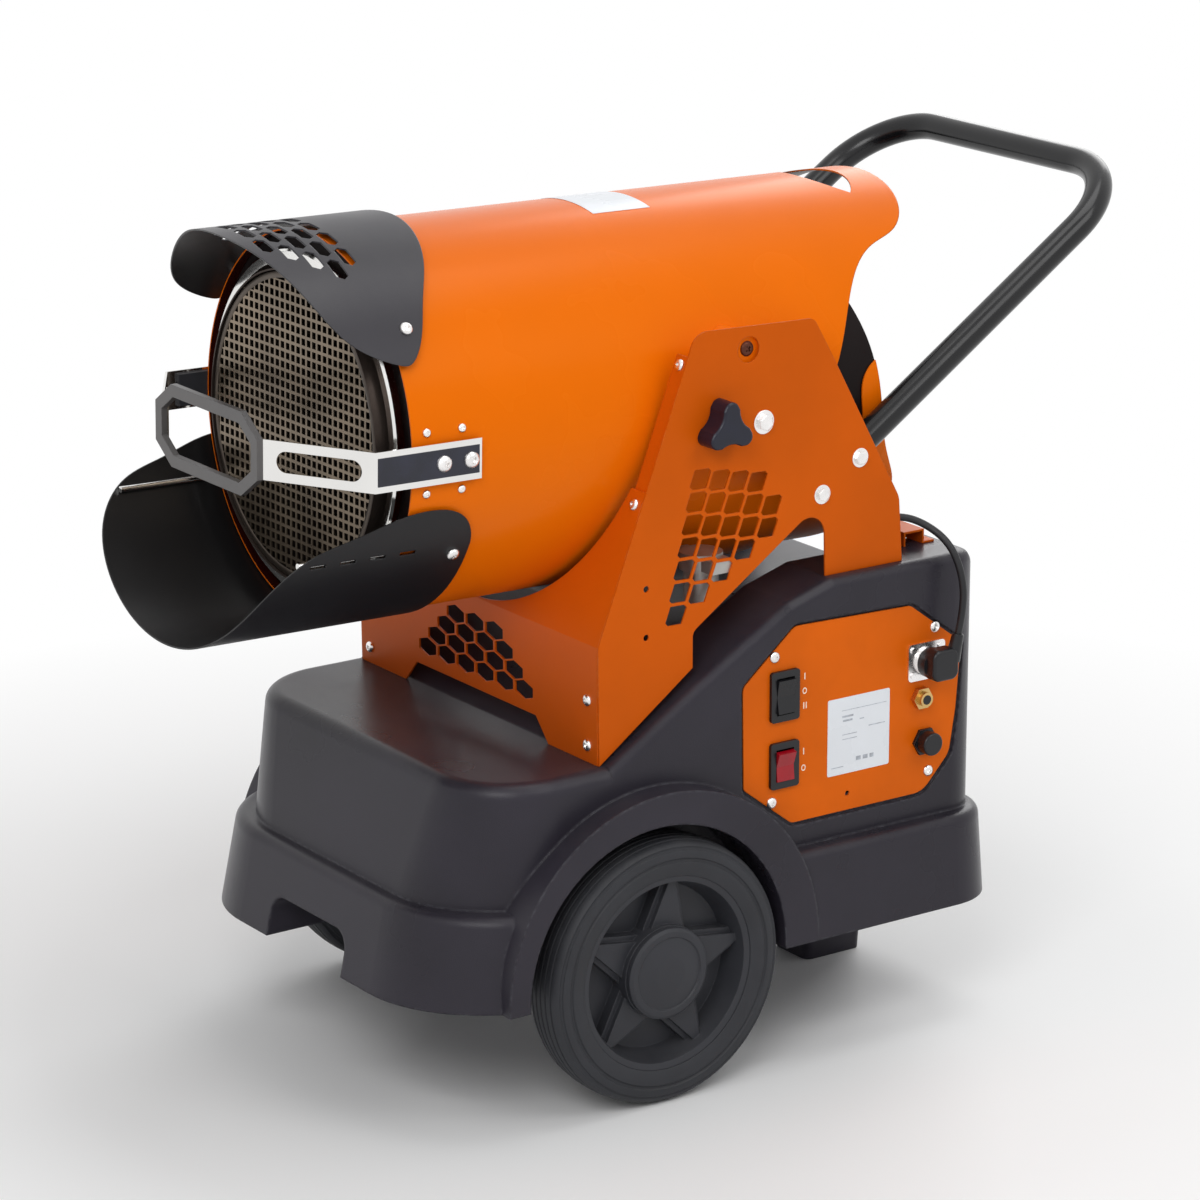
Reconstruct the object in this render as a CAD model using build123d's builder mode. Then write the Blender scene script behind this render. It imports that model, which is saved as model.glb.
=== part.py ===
from build123d import *
import math
import os

# An infrared diesel heater on two wheels, in millimetres.
# +X is the side with the control panel, -Y is the glowing front, +Z is up.
# Y and Z in the outlines below are measured from the axle line and the ground.

# Barrel
pivot_back = 131.0
pivot_z = 610.5
nose_up = 1.2
shell_radius = 175.0
shell_sheet = 1.5
barrel_front = 355.0
cradle_gap = 8.0
tilt_up = 12.0
tilt_down = 2.0
pivot_bolt_radius = 6.0
stud_ahead = 50.0
stud_above = 3.0
stud_radius = 4.0

# Emitter and its guard, set off from the barrel shell
chamber_inset = 34.0
ring_inset = 17.0
chamber_radius = shell_radius - chamber_inset
ring_outer = shell_radius - ring_inset
upper_stand_off = 8.0
lower_stand_off = 4.0
upper_deflector_radius = shell_radius + upper_stand_off
lower_deflector_radius = shell_radius + lower_stand_off
deflector_sheet = 1.5
guard_half_height = 18.0
guard_stand_off = 5.5
guard_out = shell_radius + guard_stand_off
loop_half = 88.5

# Fan section
housing_inset = 5.5
housing_radius = shell_radius - housing_inset
housing_wall = 2.0
cover_inset = 3.5
cover_radius = shell_radius - cover_inset
fan_radius = 120.0
fan_blades = 6
fan_shaft_radius = 5.0
motor_radius = 42.0

# Case sheet metal, its side plates clear of the barrel
plate_gap = 25.0
plate_face = shell_radius + plate_gap
sheet = 2.0
front_back = -47.0
bend_z = 430.0
lean = 21.2

# Tank, wider than the case that stands on it
tank_margin = 13.5
tank_half = plate_face + tank_margin
skirt_step = 25.5
skirt_half = tank_half + skirt_step
ledge_z = 205.0
deck_z = 320.0
tank_top = 455.0
tank_rear = 383.0
skirt_rear = 397.0
valley_margin = 60.0
valley_half = plate_face - valley_margin
valley_z = 395.0
edge_round = 10.0

# Wheels and axle
wheel_radius = 125.0
wheel_proud = 3.3
wheel_face = skirt_half + wheel_proud
tyre_width = 49.5
tyre_height = 33.0
hub_radius = 44.0
spoke_count = 5
axle_radius = 8.0
axle_y = -104.6
running_gap = 0.05
wheel_gap = 11.8
arch_inner = wheel_face - tyre_width - wheel_gap
arch_gap = 16.0
arch_radius = wheel_radius + arch_gap
fender_sheet = 30.0
fender_radius = arch_radius + fender_sheet
skirt_drop = 5.5
skirt_bottom = wheel_radius - skirt_drop

# Handle
tube_radius = 13.0
tube_wall = 1.5
handle_rise = 33.9
handle_bend = 80.0
handle_length = 449.6

# Filler
filler_inset = 43.0
filler_across = valley_half + filler_inset
filler_back = 333.0
filler_bore = 17.0

# Control panel
panel_sheet = 2.0
recess_depth = 4.0
lead_radius = 3.5
panel_screw_places = [(137, 392), (323, 389), (135, 253), (318, 249)]

# Views in which the outlines are drawn
side_view = Plane(origin=(0, axle_y, 0), x_dir=(0, 1, 0), z_dir=(1, 0, 0))
front_view = Plane(origin=(0, axle_y, 0), x_dir=(1, 0, 0), z_dir=(0, -1, 0))
top_view = Plane(origin=(0, axle_y, 0), x_dir=(1, 0, 0), z_dir=(0, 0, 1))
axle_line = Axis((0, axle_y, wheel_radius), (1, 0, 0))

nose_cos = math.cos(math.radians(nose_up))
nose_sin = math.sin(math.radians(nose_up))
pivot = (0, axle_y + pivot_back, pivot_z)
barrel_axis = Axis(pivot, (0, nose_cos, -nose_sin))
barrel_side = Plane(origin=pivot, x_dir=(0, nose_cos, -nose_sin), z_dir=(1, 0, 0))
barrel_top = Plane(origin=pivot, x_dir=(1, 0, 0), z_dir=(0, nose_sin, nose_cos))

os.makedirs("parts", exist_ok=True)
finished = {}


def barrel_section(behind):
    # A plane square to the barrel axis, so far behind the pivot, facing forward
    place = (0, pivot[1] + behind * nose_cos, pivot[2] - behind * nose_sin)
    return Plane(origin=place, x_dir=(1, 0, 0), z_dir=(0, -nose_cos, nose_sin))


def barrel_radial(behind, angle, distance):
    # A plane that faces outwards from the barrel, its own Y pointing backwards
    turn = math.radians(angle)
    out = (math.cos(turn), nose_sin * math.sin(turn), nose_cos * math.sin(turn))
    base = barrel_section(behind).origin
    place = (base.X + out[0] * distance, base.Y + out[1] * distance, base.Z + out[2] * distance)
    along = (math.sin(turn), -nose_sin * math.cos(turn), -nose_cos * math.cos(turn))
    return Plane(origin=place, x_dir=along, z_dir=out)


def rounded_outline(corners):
    # Corners given as (across, up, radius)
    places = [(across, up) for across, up, radius in corners]
    radii = [radius for across, up, radius in corners]
    FilletPolyline(*places, radius=radii, close=True)


# Wheels

rim_radius = wheel_radius - tyre_height
tyre_inner_face = wheel_face - tyre_width
hub_inner_face = arch_inner + 2.5
hub_end = wheel_face - 8.0
web_face = wheel_face - 30.0
axle_end = wheel_face - 6.3


def make_tyre(side):
    with BuildPart() as tyre:
        with BuildSketch(front_view):
            with BuildLine():
                low = wheel_radius + rim_radius
                high = wheel_radius + wheel_radius
                inner = side * tyre_inner_face
                outer = side * wheel_face
                middle = (inner + outer) / 2
                shoulder = side * 9
                Line((inner + side * 3, low), (outer - side * 3, low))
                Line((outer - side * 3, low), (outer, low + 8))
                Line((outer, low + 8), (outer, high - 12))
                crown = high - 1.2
                ThreePointArc((outer, high - 12), (outer - side * 3, high - 4), (outer - shoulder, crown))
                ThreePointArc((outer - shoulder, crown), (middle, high), (inner + shoulder, crown))
                ThreePointArc((inner + shoulder, crown), (inner + side * 3, high - 4), (inner, high - 12))
                Line((inner, high - 12), (inner, low + 8))
                Line((inner, low + 8), (inner + side * 3, low))
            make_face()
        revolve(axis=axle_line)
    return tyre


def make_rim(side):
    spoke_root = 25.0
    spoke_tip = 8.0
    rim_wall = 6.0
    with BuildPart() as rim:
        with BuildSketch(front_view):
            with BuildLine():
                floor = wheel_radius + axle_radius + running_gap
                seat = wheel_radius + rim_radius
                well = seat - rim_wall
                outline = [
                    (hub_inner_face, floor), (hub_end, floor), (hub_end, wheel_radius + hub_radius),
                    (web_face, wheel_radius + hub_radius), (web_face, well - 8), (wheel_face - 5, well),
                    (wheel_face - 3.5, seat), (tyre_inner_face + 3, seat), (tyre_inner_face + 3, well),
                    (web_face - 4, well), (web_face - 4, wheel_radius + 22),
                    (hub_inner_face, wheel_radius + 22),
                ]
                Polyline(*[(side * across, up) for across, up in outline], close=True)
            make_face()
        revolve(axis=axle_line)
        for inset, height in ((0, 12), (5, 17)):
            start = side_view.offset(side * (web_face - 0.5))
            star_plane = Plane(origin=start.from_local_coords((0, wheel_radius, 0)),
                               x_dir=(0, 1, 0), z_dir=(1, 0, 0))
            with BuildSketch(star_plane):
                with PolarLocations(0, spoke_count, start_angle=82):
                    Polygon((hub_radius - 12, spoke_root - inset), (rim_radius - rim_wall, spoke_tip - inset),
                            (rim_radius - rim_wall, inset - spoke_tip), (hub_radius - 12, inset - spoke_root),
                            align=None)
            extrude(amount=side * height)
    return rim


def make_hub_cap(side):
    with BuildPart() as hub_cap:
        with BuildSketch(front_view):
            with BuildLine():
                top = wheel_radius + hub_radius
                outline = [
                    (hub_end, wheel_radius + 14), (hub_end, top - 1), (wheel_face - 3, top - 1),
                    (wheel_face - 1, top - 4), (wheel_face - 1, top - 9), (wheel_face - 2.4, top - 10),
                    (wheel_face, wheel_radius + 16), (wheel_face, wheel_radius),
                    (wheel_face - 2.5, wheel_radius), (wheel_face - 2.5, wheel_radius + 14),
                ]
                Polyline(*[(side * across, up) for across, up in outline], close=True)
            make_face()
        revolve(axis=axle_line)
    return hub_cap


for name, side in (("right", 1), ("left", -1)):
    finished["tyre_" + name] = make_tyre(side)
    finished["rim_" + name] = make_rim(side)
    finished["hub_cap_" + name] = make_hub_cap(side)

with BuildPart() as axle:
    with BuildSketch(side_view.offset(-axle_end)):
        with Locations((0, wheel_radius)):
            Circle(axle_radius)
    extrude(amount=2 * axle_end)
    chamfer(axle.edges().filter_by(GeomType.CIRCLE), 1)
finished["axle"] = axle

clamp_gap = 0.3
with BuildPart() as axle_clamps:
    for across in (-110, 110):
        with BuildSketch(side_view.offset(across - 15)):
            with BuildLine():
                outer = axle_radius + clamp_gap + 3
                inner = axle_radius + clamp_gap
                drop_outer = math.sqrt(outer**2 - (wheel_radius - skirt_bottom + 3) ** 2)
                drop_inner = math.sqrt(inner**2 - (wheel_radius - skirt_bottom) ** 2)
                Polyline((drop_inner, skirt_bottom), (30, skirt_bottom), (30, skirt_bottom - 3),
                         (drop_outer, skirt_bottom - 3))
                ThreePointArc((drop_outer, skirt_bottom - 3), (0, wheel_radius - outer),
                              (-drop_outer, skirt_bottom - 3))
                Polyline((-drop_outer, skirt_bottom - 3), (-30, skirt_bottom - 3), (-30, skirt_bottom),
                         (-drop_inner, skirt_bottom))
                ThreePointArc((-drop_inner, skirt_bottom), (0, wheel_radius - inner),
                              (drop_inner, skirt_bottom))
            make_face()
        extrude(amount=30)
finished["axle_clamps"] = axle_clamps

# Fuel tank, the moulded base

tank_slope = [(front_back + 4, deck_z), (54, 382), (154, 440), (203, tank_top), (365, tank_top),
              (tank_rear, tank_top - 16)]

with BuildPart() as tank_back:
    with BuildSketch(side_view.offset(-tank_half)):
        with BuildLine():
            Polyline((front_back + 4, deck_z - 20), *tank_slope, (tank_rear, deck_z - 20), close=True)
        make_face()
    extrude(amount=2 * tank_half)
    fillet(tank_back.edges().filter_by(Axis.Z).sort_by(Axis.Y)[-2:], 38)
    rims = tank_back.faces().filter_by(lambda face: face.normal_at().Z > 0.3).edges()
    fillet(rims.filter_by(Axis.X, reverse=True).filter_by(lambda edge: edge.length > 5), edge_round)


def tank_plan(half, front, rear, front_corner, rear_corner):
    rounded_outline([
        (-half, front, front_corner), (half, front, front_corner),
        (half, rear, rear_corner), (-half, rear, rear_corner),
    ])


with BuildPart() as tank_shoulders:
    with BuildSketch(top_view.offset(ledge_z - 10)):
        with BuildLine():
            tank_plan(tank_half, -209, tank_rear, 107, 38)
        make_face()
    with BuildSketch(top_view.offset(deck_z)):
        with BuildLine():
            tank_plan(tank_half, -180, tank_rear, 77, 38)
        make_face()
    loft(ruled=True)
    fillet(tank_shoulders.faces().sort_by(Axis.Z)[-1].edges(), edge_round + 4)

# Outline of the control panel, seen from its own side
panel_corners = [(160, 417.5, 12), (294, 414, 10), (355, 369, 6), (350, 305, 60), (343, 262, 20),
                 (312, 229, 25), (158, 229, 10), (103.5, 271, 6), (102, 369, 8)]
recess_floor = tank_half - recess_depth
panel_face = recess_floor + panel_sheet
pocket_depth = 40.0

with BuildPart() as fuel_tank:
    with BuildSketch(top_view.offset(skirt_bottom)):
        with BuildLine():
            tank_plan(skirt_half, -240, skirt_rear, 125, 60)
        make_face()
    with BuildSketch(top_view.offset(ledge_z)):
        with BuildLine():
            tank_plan(skirt_half - 7, -222, skirt_rear - 5, 118, 55)
        make_face()
    loft(ruled=True)
    fillet(fuel_tank.faces().sort_by(Axis.Z)[-1].edges(), edge_round)
    add(tank_shoulders.part)
    # fenders over the wheels
    with BuildSketch(side_view.offset(-skirt_half)):
        with Locations((0, wheel_radius)):
            Circle(fender_radius)
        with Locations((0, skirt_bottom - fender_radius)):
            Rectangle(2 * fender_radius, 2 * fender_radius, mode=Mode.SUBTRACT)
    extrude(amount=2 * skirt_half)
    add(tank_back.part)
    # wheel arches
    for side in (-1, 1):
        with BuildSketch(side_view.offset(side * arch_inner)):
            with Locations((-8, wheel_radius)):
                Circle(arch_radius)
        extrude(amount=side * 100, mode=Mode.SUBTRACT)
    # valley under the barrel, open at the back
    with BuildSketch(front_view.offset(-tank_rear - 50)):
        with BuildLine():
            rounded_outline([(-valley_half, valley_z, 16), (valley_half, valley_z, 16),
                             (valley_half + 4, tank_top + 60, 0), (-valley_half - 4, tank_top + 60, 0)])
        make_face()
    extrude(amount=tank_rear + 100, mode=Mode.SUBTRACT)
    # notch under the nose
    with BuildSketch(front_view.offset(250)):
        with BuildLine():
            rounded_outline([(-65, skirt_bottom - 30, 0), (65, skirt_bottom - 30, 0),
                             (65, 160, 20), (-65, 160, 20)])
        make_face()
    extrude(amount=-85, mode=Mode.SUBTRACT)
    # channel for the axle
    with BuildSketch(side_view.offset(-arch_inner - 5)):
        with BuildLine():
            half = axle_radius + clamp_gap
            bend = half - 0.1
            rounded_outline([(-half, skirt_bottom - 10, 0), (half, skirt_bottom - 10, 0),
                             (half, wheel_radius + half, bend), (-half, wheel_radius + half, bend)])
        make_face()
    extrude(amount=2 * arch_inner + 10, mode=Mode.SUBTRACT)
    # recess and pocket behind the control panel
    with BuildSketch(side_view.offset(recess_floor)):
        with BuildLine():
            rounded_outline(panel_corners)
        make_face()
        offset(amount=3)
    extrude(amount=30, mode=Mode.SUBTRACT)
    with BuildSketch(side_view.offset(recess_floor)):
        with BuildLine():
            rounded_outline(panel_corners)
        make_face()
        offset(amount=-16)
    extrude(amount=-pocket_depth, mode=Mode.SUBTRACT)
    # filler neck with its flange and the well under it
    with BuildSketch(top_view.offset(tank_top)):
        with Locations((-filler_across, filler_back)):
            Circle(filler_bore + 7)
    extrude(amount=3)
    with BuildSketch(top_view.offset(tank_top)):
        with Locations((-filler_across, filler_back)):
            Circle(filler_bore + 3)
    extrude(amount=16)
    with BuildSketch(top_view.offset(tank_top + 16)):
        with Locations((-filler_across, filler_back)):
            Circle(filler_bore)
    extrude(amount=-96, mode=Mode.SUBTRACT)
finished["fuel_tank"] = fuel_tank

# Filler cap
cap_radius = 26.0
with BuildPart() as fuel_cap:
    with BuildSketch(top_view.offset(tank_top + 3.3)):
        with Locations((-filler_across, filler_back)):
            Circle(cap_radius)
            with PolarLocations(cap_radius + 1.5, 16):
                Circle(3, mode=Mode.SUBTRACT)
    extrude(amount=18)
    chamfer(fuel_cap.faces().sort_by(Axis.Z)[-1].edges(), 1)
    with BuildSketch(top_view.offset(tank_top + 3.3)):
        with Locations((-filler_across, filler_back)):
            Circle(filler_bore + 3 + running_gap)
    extrude(amount=13, mode=Mode.SUBTRACT)
finished["fuel_cap"] = fuel_cap

# Rear foot
with BuildPart() as rear_foot:
    with BuildSketch(top_view):
        with Locations((0, 353)):
            RectangleRounded(54, 67, 8)
    with BuildSketch(top_view.offset(skirt_bottom - 6)):
        with Locations((0, 353)):
            RectangleRounded(66, 75, 8)
    loft(ruled=True)
    with BuildSketch(top_view.offset(skirt_bottom - 6)):
        with Locations((0, 353)):
            RectangleRounded(100, 84, 10)
    extrude(amount=6)
finished["rear_foot"] = rear_foot


# Side plates of the case

lean_slope = math.tan(math.radians(lean))


def front_at(height):
    # How far behind the axle the leaning front of the case stands at this height
    return front_back + max(0, height - bend_z) * lean_slope


plate_top = 702.0
plate_corners = [
    (-48, deck_z, 0), (front_back - sheet, bend_z, 0), (front_at(plate_top) - sheet, plate_top, 18),
    (187, 698, 10), (214, 651, 60), (287.5, 517, 22), (292, tank_top, 0), (203, tank_top, 0),
    (201, 528.7, 18), (54, 427.5, 10), (54, 394, 0),
]
flange_width = 18.0
flange_low = 564.0
stud_across = (pivot_back - stud_ahead * nose_cos + stud_above * nose_sin)
stud_z = pivot_z + stud_ahead * nose_sin + stud_above * nose_cos
stud_reach = math.hypot(stud_across - pivot_back, stud_z - pivot_z)
stud_angle = math.degrees(math.atan2(stud_z - pivot_z, stud_across - pivot_back))
handle_bolt_places = [(198, 533), (241, 561)]
hole_row = (-4.4, -20.3)
hole_step = (20.9, -4.0)
hole_counts = [4, 5, 5, 4, 3, 2, 1]
hole_first = (62.0, 568.0)
hole_corners = [(-6, 8.8), (6.5, 8.2), (9.8, 5), (6, -8.8), (-6.5, -8.2), (-9.8, -5)]
slot_path = CenterArc((pivot_back, pivot_z), stud_reach, stud_angle - tilt_up - 0.5, tilt_up + tilt_down + 1)


def make_side_plate(side):
    with BuildPart() as plate:
        with BuildSketch(side_view.offset(side * plate_face)):
            with BuildLine():
                rounded_outline(plate_corners)
            make_face()
            with Locations((pivot_back, pivot_z)):
                Circle(pivot_bolt_radius + 0.2, mode=Mode.SUBTRACT)
            SlotArc(slot_path, 2 * stud_radius + 1.4, mode=Mode.SUBTRACT)
            with Locations(*handle_bolt_places):
                Circle(4.3, mode=Mode.SUBTRACT)
            with Locations((114, 679)):
                Circle(12, mode=Mode.SUBTRACT)
            with Locations((3, 476), (3, 431)):
                Circle(3, mode=Mode.SUBTRACT)
            for row, count in enumerate(hole_counts):
                start = (hole_first[0] + row * hole_row[0], hole_first[1] + row * hole_row[1])
                for column in range(count):
                    with Locations((start[0] + column * hole_step[0], start[1] + column * hole_step[1])):
                        Polygon(*hole_corners, mode=Mode.SUBTRACT)
        extrude(amount=-side * sheet)
        # flange along the front edge, behind the front sheet
        with BuildSketch(side_view.offset(side * (plate_face - sheet))):
            with BuildLine():
                top = plate_top - 22
                Polyline((front_back, deck_z), (front_back, bend_z), (front_at(top), top),
                         (front_at(top) + sheet, top), (front_back + sheet, bend_z),
                         (front_back + sheet, deck_z), close=True)
            make_face()
        extrude(amount=-side * flange_width)
    return plate


for name, side in (("right", 1), ("left", -1)):
    finished["side_plate_" + name] = make_side_plate(side)

# Front panel: a standing sheet with a perforated hump and a leaning sheet cut round the barrel
panel_half = plate_face - sheet
cradle_radius = shell_radius + cradle_gap
front_hole_pitch = 32.4
front_row_pitch = 14.6
front_hole_counts = [3, 4, 5, 6]

with BuildPart() as leaning_sheet:
    with BuildSketch(side_view.offset(-panel_half)):
        with BuildLine():
            Polyline((front_back, bend_z), (front_at(flange_low), flange_low),
                     (front_at(flange_low) - sheet, flange_low), (front_back - sheet, bend_z), close=True)
        make_face()
    extrude(amount=2 * panel_half)
    with BuildSketch(barrel_section(60)):
        Circle(cradle_radius)
    extrude(amount=400, mode=Mode.SUBTRACT)

with BuildPart() as front_panel:
    with BuildSketch(front_view.offset(-front_back)):
        with BuildLine():
            Polyline((-panel_half, deck_z), (-120, deck_z), (-100, deck_z + 22), (100, deck_z + 22),
                     (120, deck_z), (panel_half, deck_z), (panel_half, bend_z), (-panel_half, bend_z),
                     close=True)
        make_face()
        for row, count in enumerate(front_hole_counts):
            with Locations((0, 405.5 - row * front_row_pitch)):
                with GridLocations(front_hole_pitch, 1, count, 1):
                    Polygon((0, 8.4), (12.6, 4.2), (12.6, -4.2), (0, -8.4), (-12.6, -4.2), (-12.6, 4.2),
                            mode=Mode.SUBTRACT)
    extrude(amount=sheet)
    add(leaning_sheet.part)
finished["front_panel"] = front_panel

# Bar across the valley behind the barrel
bar_left = valley_half + 14
bar_right = valley_half + 25
bar_front = 322.0
bar_depth = 36.0
bar_height = 14.0
with BuildPart() as rear_bar:
    with BuildSketch(side_view.offset(-bar_left)):
        with BuildLine():
            bar_top = tank_top + bar_height
            bar_back = bar_front + bar_depth
            foot_front = bar_back - 12
            Polyline((bar_front, tank_top), (bar_front, bar_top), (foot_front, bar_top),
                     (foot_front, tank_top + sheet), (bar_back, tank_top + sheet), (bar_back, tank_top),
                     (foot_front - sheet, tank_top), (foot_front - sheet, bar_top - sheet),
                     (bar_front + sheet, bar_top - sheet), (bar_front + sheet, tank_top), close=True)
        make_face()
    extrude(amount=bar_left + bar_right)
finished["rear_bar"] = rear_bar

# Handle, a bent tube between the side plates
handle_start = (handle_bolt_places[0][0], handle_bolt_places[0][1])
rise_cos = math.cos(math.radians(handle_rise))
rise_sin = math.sin(math.radians(handle_rise))
handle_half = plate_face - sheet - tube_radius
handle_origin = side_view.from_local_coords((handle_start[0], handle_start[1], 0))
handle_plane = Plane(origin=handle_origin, x_dir=(1, 0, 0), z_dir=(0, -rise_sin, rise_cos))
with BuildPart() as handle_tube:
    with BuildLine(handle_plane) as handle_path:
        FilletPolyline((-handle_half, -20), (-handle_half, handle_length), (handle_half, handle_length),
                       (handle_half, -20), radius=handle_bend)
    with BuildSketch(handle_path.line ^ 0):
        Circle(tube_radius)
        Circle(tube_radius - tube_wall, mode=Mode.SUBTRACT)
    sweep()
finished["handle_tube"] = handle_tube


def dome_bolt(place, head_radius, head_height, shank_radius=0, shank_length=0):
    # Head and shank of one bolt, its head standing out along the plane's Z
    with BuildPart() as bolt:
        with BuildSketch(place):
            Circle(head_radius)
        extrude(amount=head_height)
        chamfer(bolt.faces().sort_by(Axis(place.origin, place.z_dir))[-1].edges(), head_height * 0.45)
        if shank_length > 0:
            with BuildSketch(place):
                Circle(shank_radius)
            extrude(amount=-shank_length)
    return bolt.part


def side_place(side, across, up, out):
    origin = side_view.from_local_coords((across, up, side * out))
    return Plane(origin=origin, x_dir=(0, 1, 0), z_dir=(side, 0, 0))


# Bolts of the handle, and the two bolts on which the barrel tilts
with BuildPart() as case_bolts:
    for side in (-1, 1):
        for across, up in handle_bolt_places:
            add(dome_bolt(side_place(side, across, up, plate_face), 9, 4.5, 4, sheet))
        add(dome_bolt(side_place(side, pivot_back, pivot_z, plate_face), 11, 6, pivot_bolt_radius, 14))
        with BuildSketch(side_place(side, pivot_back, pivot_z, plate_face - 8.6)):
            RegularPolygon(9.5, 6)
        extrude(amount=-5)
finished["case_bolts"] = case_bolts

# Screws of the case: front face, rear bar and control panel
with BuildPart() as case_screws:
    for side in (-1, 1):
        for across, up in ((plate_face - 17, 378), (plate_face - 17, 336)):
            place = front_view.from_local_coords((side * across, up, -front_back + sheet))
            add(dome_bolt(Plane(origin=place, x_dir=(1, 0, 0), z_dir=(0, -1, 0)), 5.5, 3))
        bar_screw = (side * (valley_half + 8), bar_front + bar_depth - 5, tank_top + sheet)
        place = top_view.from_local_coords(bar_screw)
        add(dome_bolt(Plane(origin=place), 5.5, 3))
        lean_out = (0, -math.cos(math.radians(lean)), math.sin(math.radians(lean)))
        for across, up, depth in ((plate_face - 12, 552, sheet), (plate_face - 11, 672, 0)):
            place = side_view.from_local_coords((front_at(up) - depth / math.cos(math.radians(lean)), up, 0))
            origin = (side * across, place.Y, place.Z)
            add(dome_bolt(Plane(origin=origin, x_dir=(1, 0, 0), z_dir=lean_out), 5.5, 3))
    for across, up in panel_screw_places:
        add(dome_bolt(side_place(1, across, up, panel_face), 5.5, 3))
finished["case_screws"] = case_screws

# Control panel and what sits on it

switch_across = 148.0
selector_z = 354.0
power_z = 288.0
switch_width = 32.0
switch_body = 24.0
selector_height = 48.0
power_height = 44.0
socket_place = (313, 358)
fuse_place = (313, 279)
port_place = (307, 323)

with BuildPart() as control_panel:
    with BuildSketch(side_view.offset(recess_floor)):
        with BuildLine():
            rounded_outline(panel_corners)
        make_face()
        with Locations((switch_across, selector_z)):
            Rectangle(switch_body, selector_height - 10, mode=Mode.SUBTRACT)
        with Locations((switch_across, power_z)):
            Rectangle(switch_body, power_height - 10, mode=Mode.SUBTRACT)
        with Locations(socket_place):
            Circle(14, mode=Mode.SUBTRACT)
        with Locations(fuse_place):
            Circle(8, mode=Mode.SUBTRACT)
        with Locations(port_place):
            Circle(6, mode=Mode.SUBTRACT)
        with Locations((223, 245)):
            Circle(2.5, mode=Mode.SUBTRACT)
    extrude(amount=panel_sheet)
finished["control_panel"] = control_panel

with BuildPart() as label_plate:
    with BuildSketch(side_view.offset(panel_face)):
        with Locations((235, 302)):
            RectangleRounded(72, 74, 2)
    extrude(amount=0.4)
finished["label_plate"] = label_plate


def make_switch(up, height):
    # Frame round the rocker and the body behind the panel
    with BuildPart() as switch:
        with BuildSketch(side_view.offset(panel_face)):
            with Locations((switch_across, up)):
                RectangleRounded(switch_width, height, 3)
        extrude(amount=3.5)
        with BuildSketch(side_view.offset(panel_face)):
            with Locations((switch_across, up)):
                Rectangle(switch_body - 0.4, height - 10.4)
        extrude(amount=-26)
        with BuildSketch(side_view.offset(panel_face + 4)):
            with Locations((switch_across, up)):
                Rectangle(switch_body - 4, height - 13)
        extrude(amount=-22, mode=Mode.SUBTRACT)
    return switch


def make_rocker(up, height, tip):
    # Rocker with two sloping faces, turned about its pin by the angle tip
    half = (height - 15.5) / 2
    pin = panel_face - 4
    place = Plane(origin=side_view.from_local_coords((switch_across, up, pin)),
                  x_dir=(1, 0, 0), z_dir=(0, -1, 0)).rotated((0, tip, 0))
    with BuildPart() as rocker:
        with BuildSketch(place.offset(-(switch_body - 4.6) / 2)):
            with BuildLine():
                Polyline((0, -half + 3), (5, -half), (10.5, -half + 0.6), (7.5, 0), (10.5, half - 0.6),
                         (5, half), (0, half - 3), (-6, 0), close=True)
            make_face()
        extrude(amount=switch_body - 4.6)
    return rocker


finished["selector_switch"] = make_switch(selector_z, selector_height)
finished["power_switch"] = make_switch(power_z, power_height)
finished["selector_rocker"] = make_rocker(selector_z, selector_height, 0)
finished["power_rocker"] = make_rocker(power_z, power_height, 7)

with BuildPart() as thermostat_socket:
    with BuildSketch(side_view.offset(panel_face)):
        with Locations(socket_place):
            RectangleRounded(43, 36, 4)
    extrude(amount=2)
    with BuildSketch(side_view.offset(panel_face - 20)):
        with Locations(socket_place):
            Circle(13.6)
    extrude(amount=26)
    for corner in ((-16, 12), (16, 12), (-16, -12), (16, -12)):
        with BuildSketch(side_view.offset(panel_face + 2)):
            with Locations((socket_place[0] + corner[0], socket_place[1] + corner[1])):
                Circle(3)
        extrude(amount=1.5)
finished["thermostat_socket"] = thermostat_socket

# Route of the lead from the junction box to the plug, as (out, behind the axle, up)
lead_start = (plate_face - 13, 271, 495)
lead_end = (panel_face + 22.5, 333, 386)
lead_points = [lead_start, (plate_face - 13, 297, 495), (plate_face, 318, 487), (panel_face + 9.5, 331, 471),
               (panel_face + 21.5, 337, 444), (panel_face + 24.5, 338, 412), lead_end]
places = [side_view.from_local_coords((across, up, out)) for out, across, up in lead_points]
runs = [places[i + 1] - places[i] for i in range(len(places) - 1)]
radii = []
for first, second in zip(runs, runs[1:]):
    half_turn = math.radians(first.get_angle(second)) / 2
    radii.append(0.45 * min(first.length, second.length) / math.tan(half_turn))
print("lead radii", [round(radius, 1) for radius in radii])

plug_start = panel_face + 6
with BuildPart() as thermostat_plug:
    with BuildSketch(side_view.offset(plug_start)):
        with Locations(socket_place):
            Circle(14.5)
    extrude(amount=10)
    with BuildSketch(side_view.offset(plug_start + 8)):
        with Locations((socket_place[0] + 3, socket_place[1] + 1)):
            RectangleRounded(30, 30, 8)
    extrude(amount=14)
    fillet(thermostat_plug.faces().sort_by(Axis.X)[-1].edges(), 3)
    with BuildSketch(Plane(origin=places[-1], z_dir=runs[-1])):
        Circle(lead_radius + 2)
    extrude(amount=26, taper=-4)
finished["thermostat_plug"] = thermostat_plug

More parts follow.
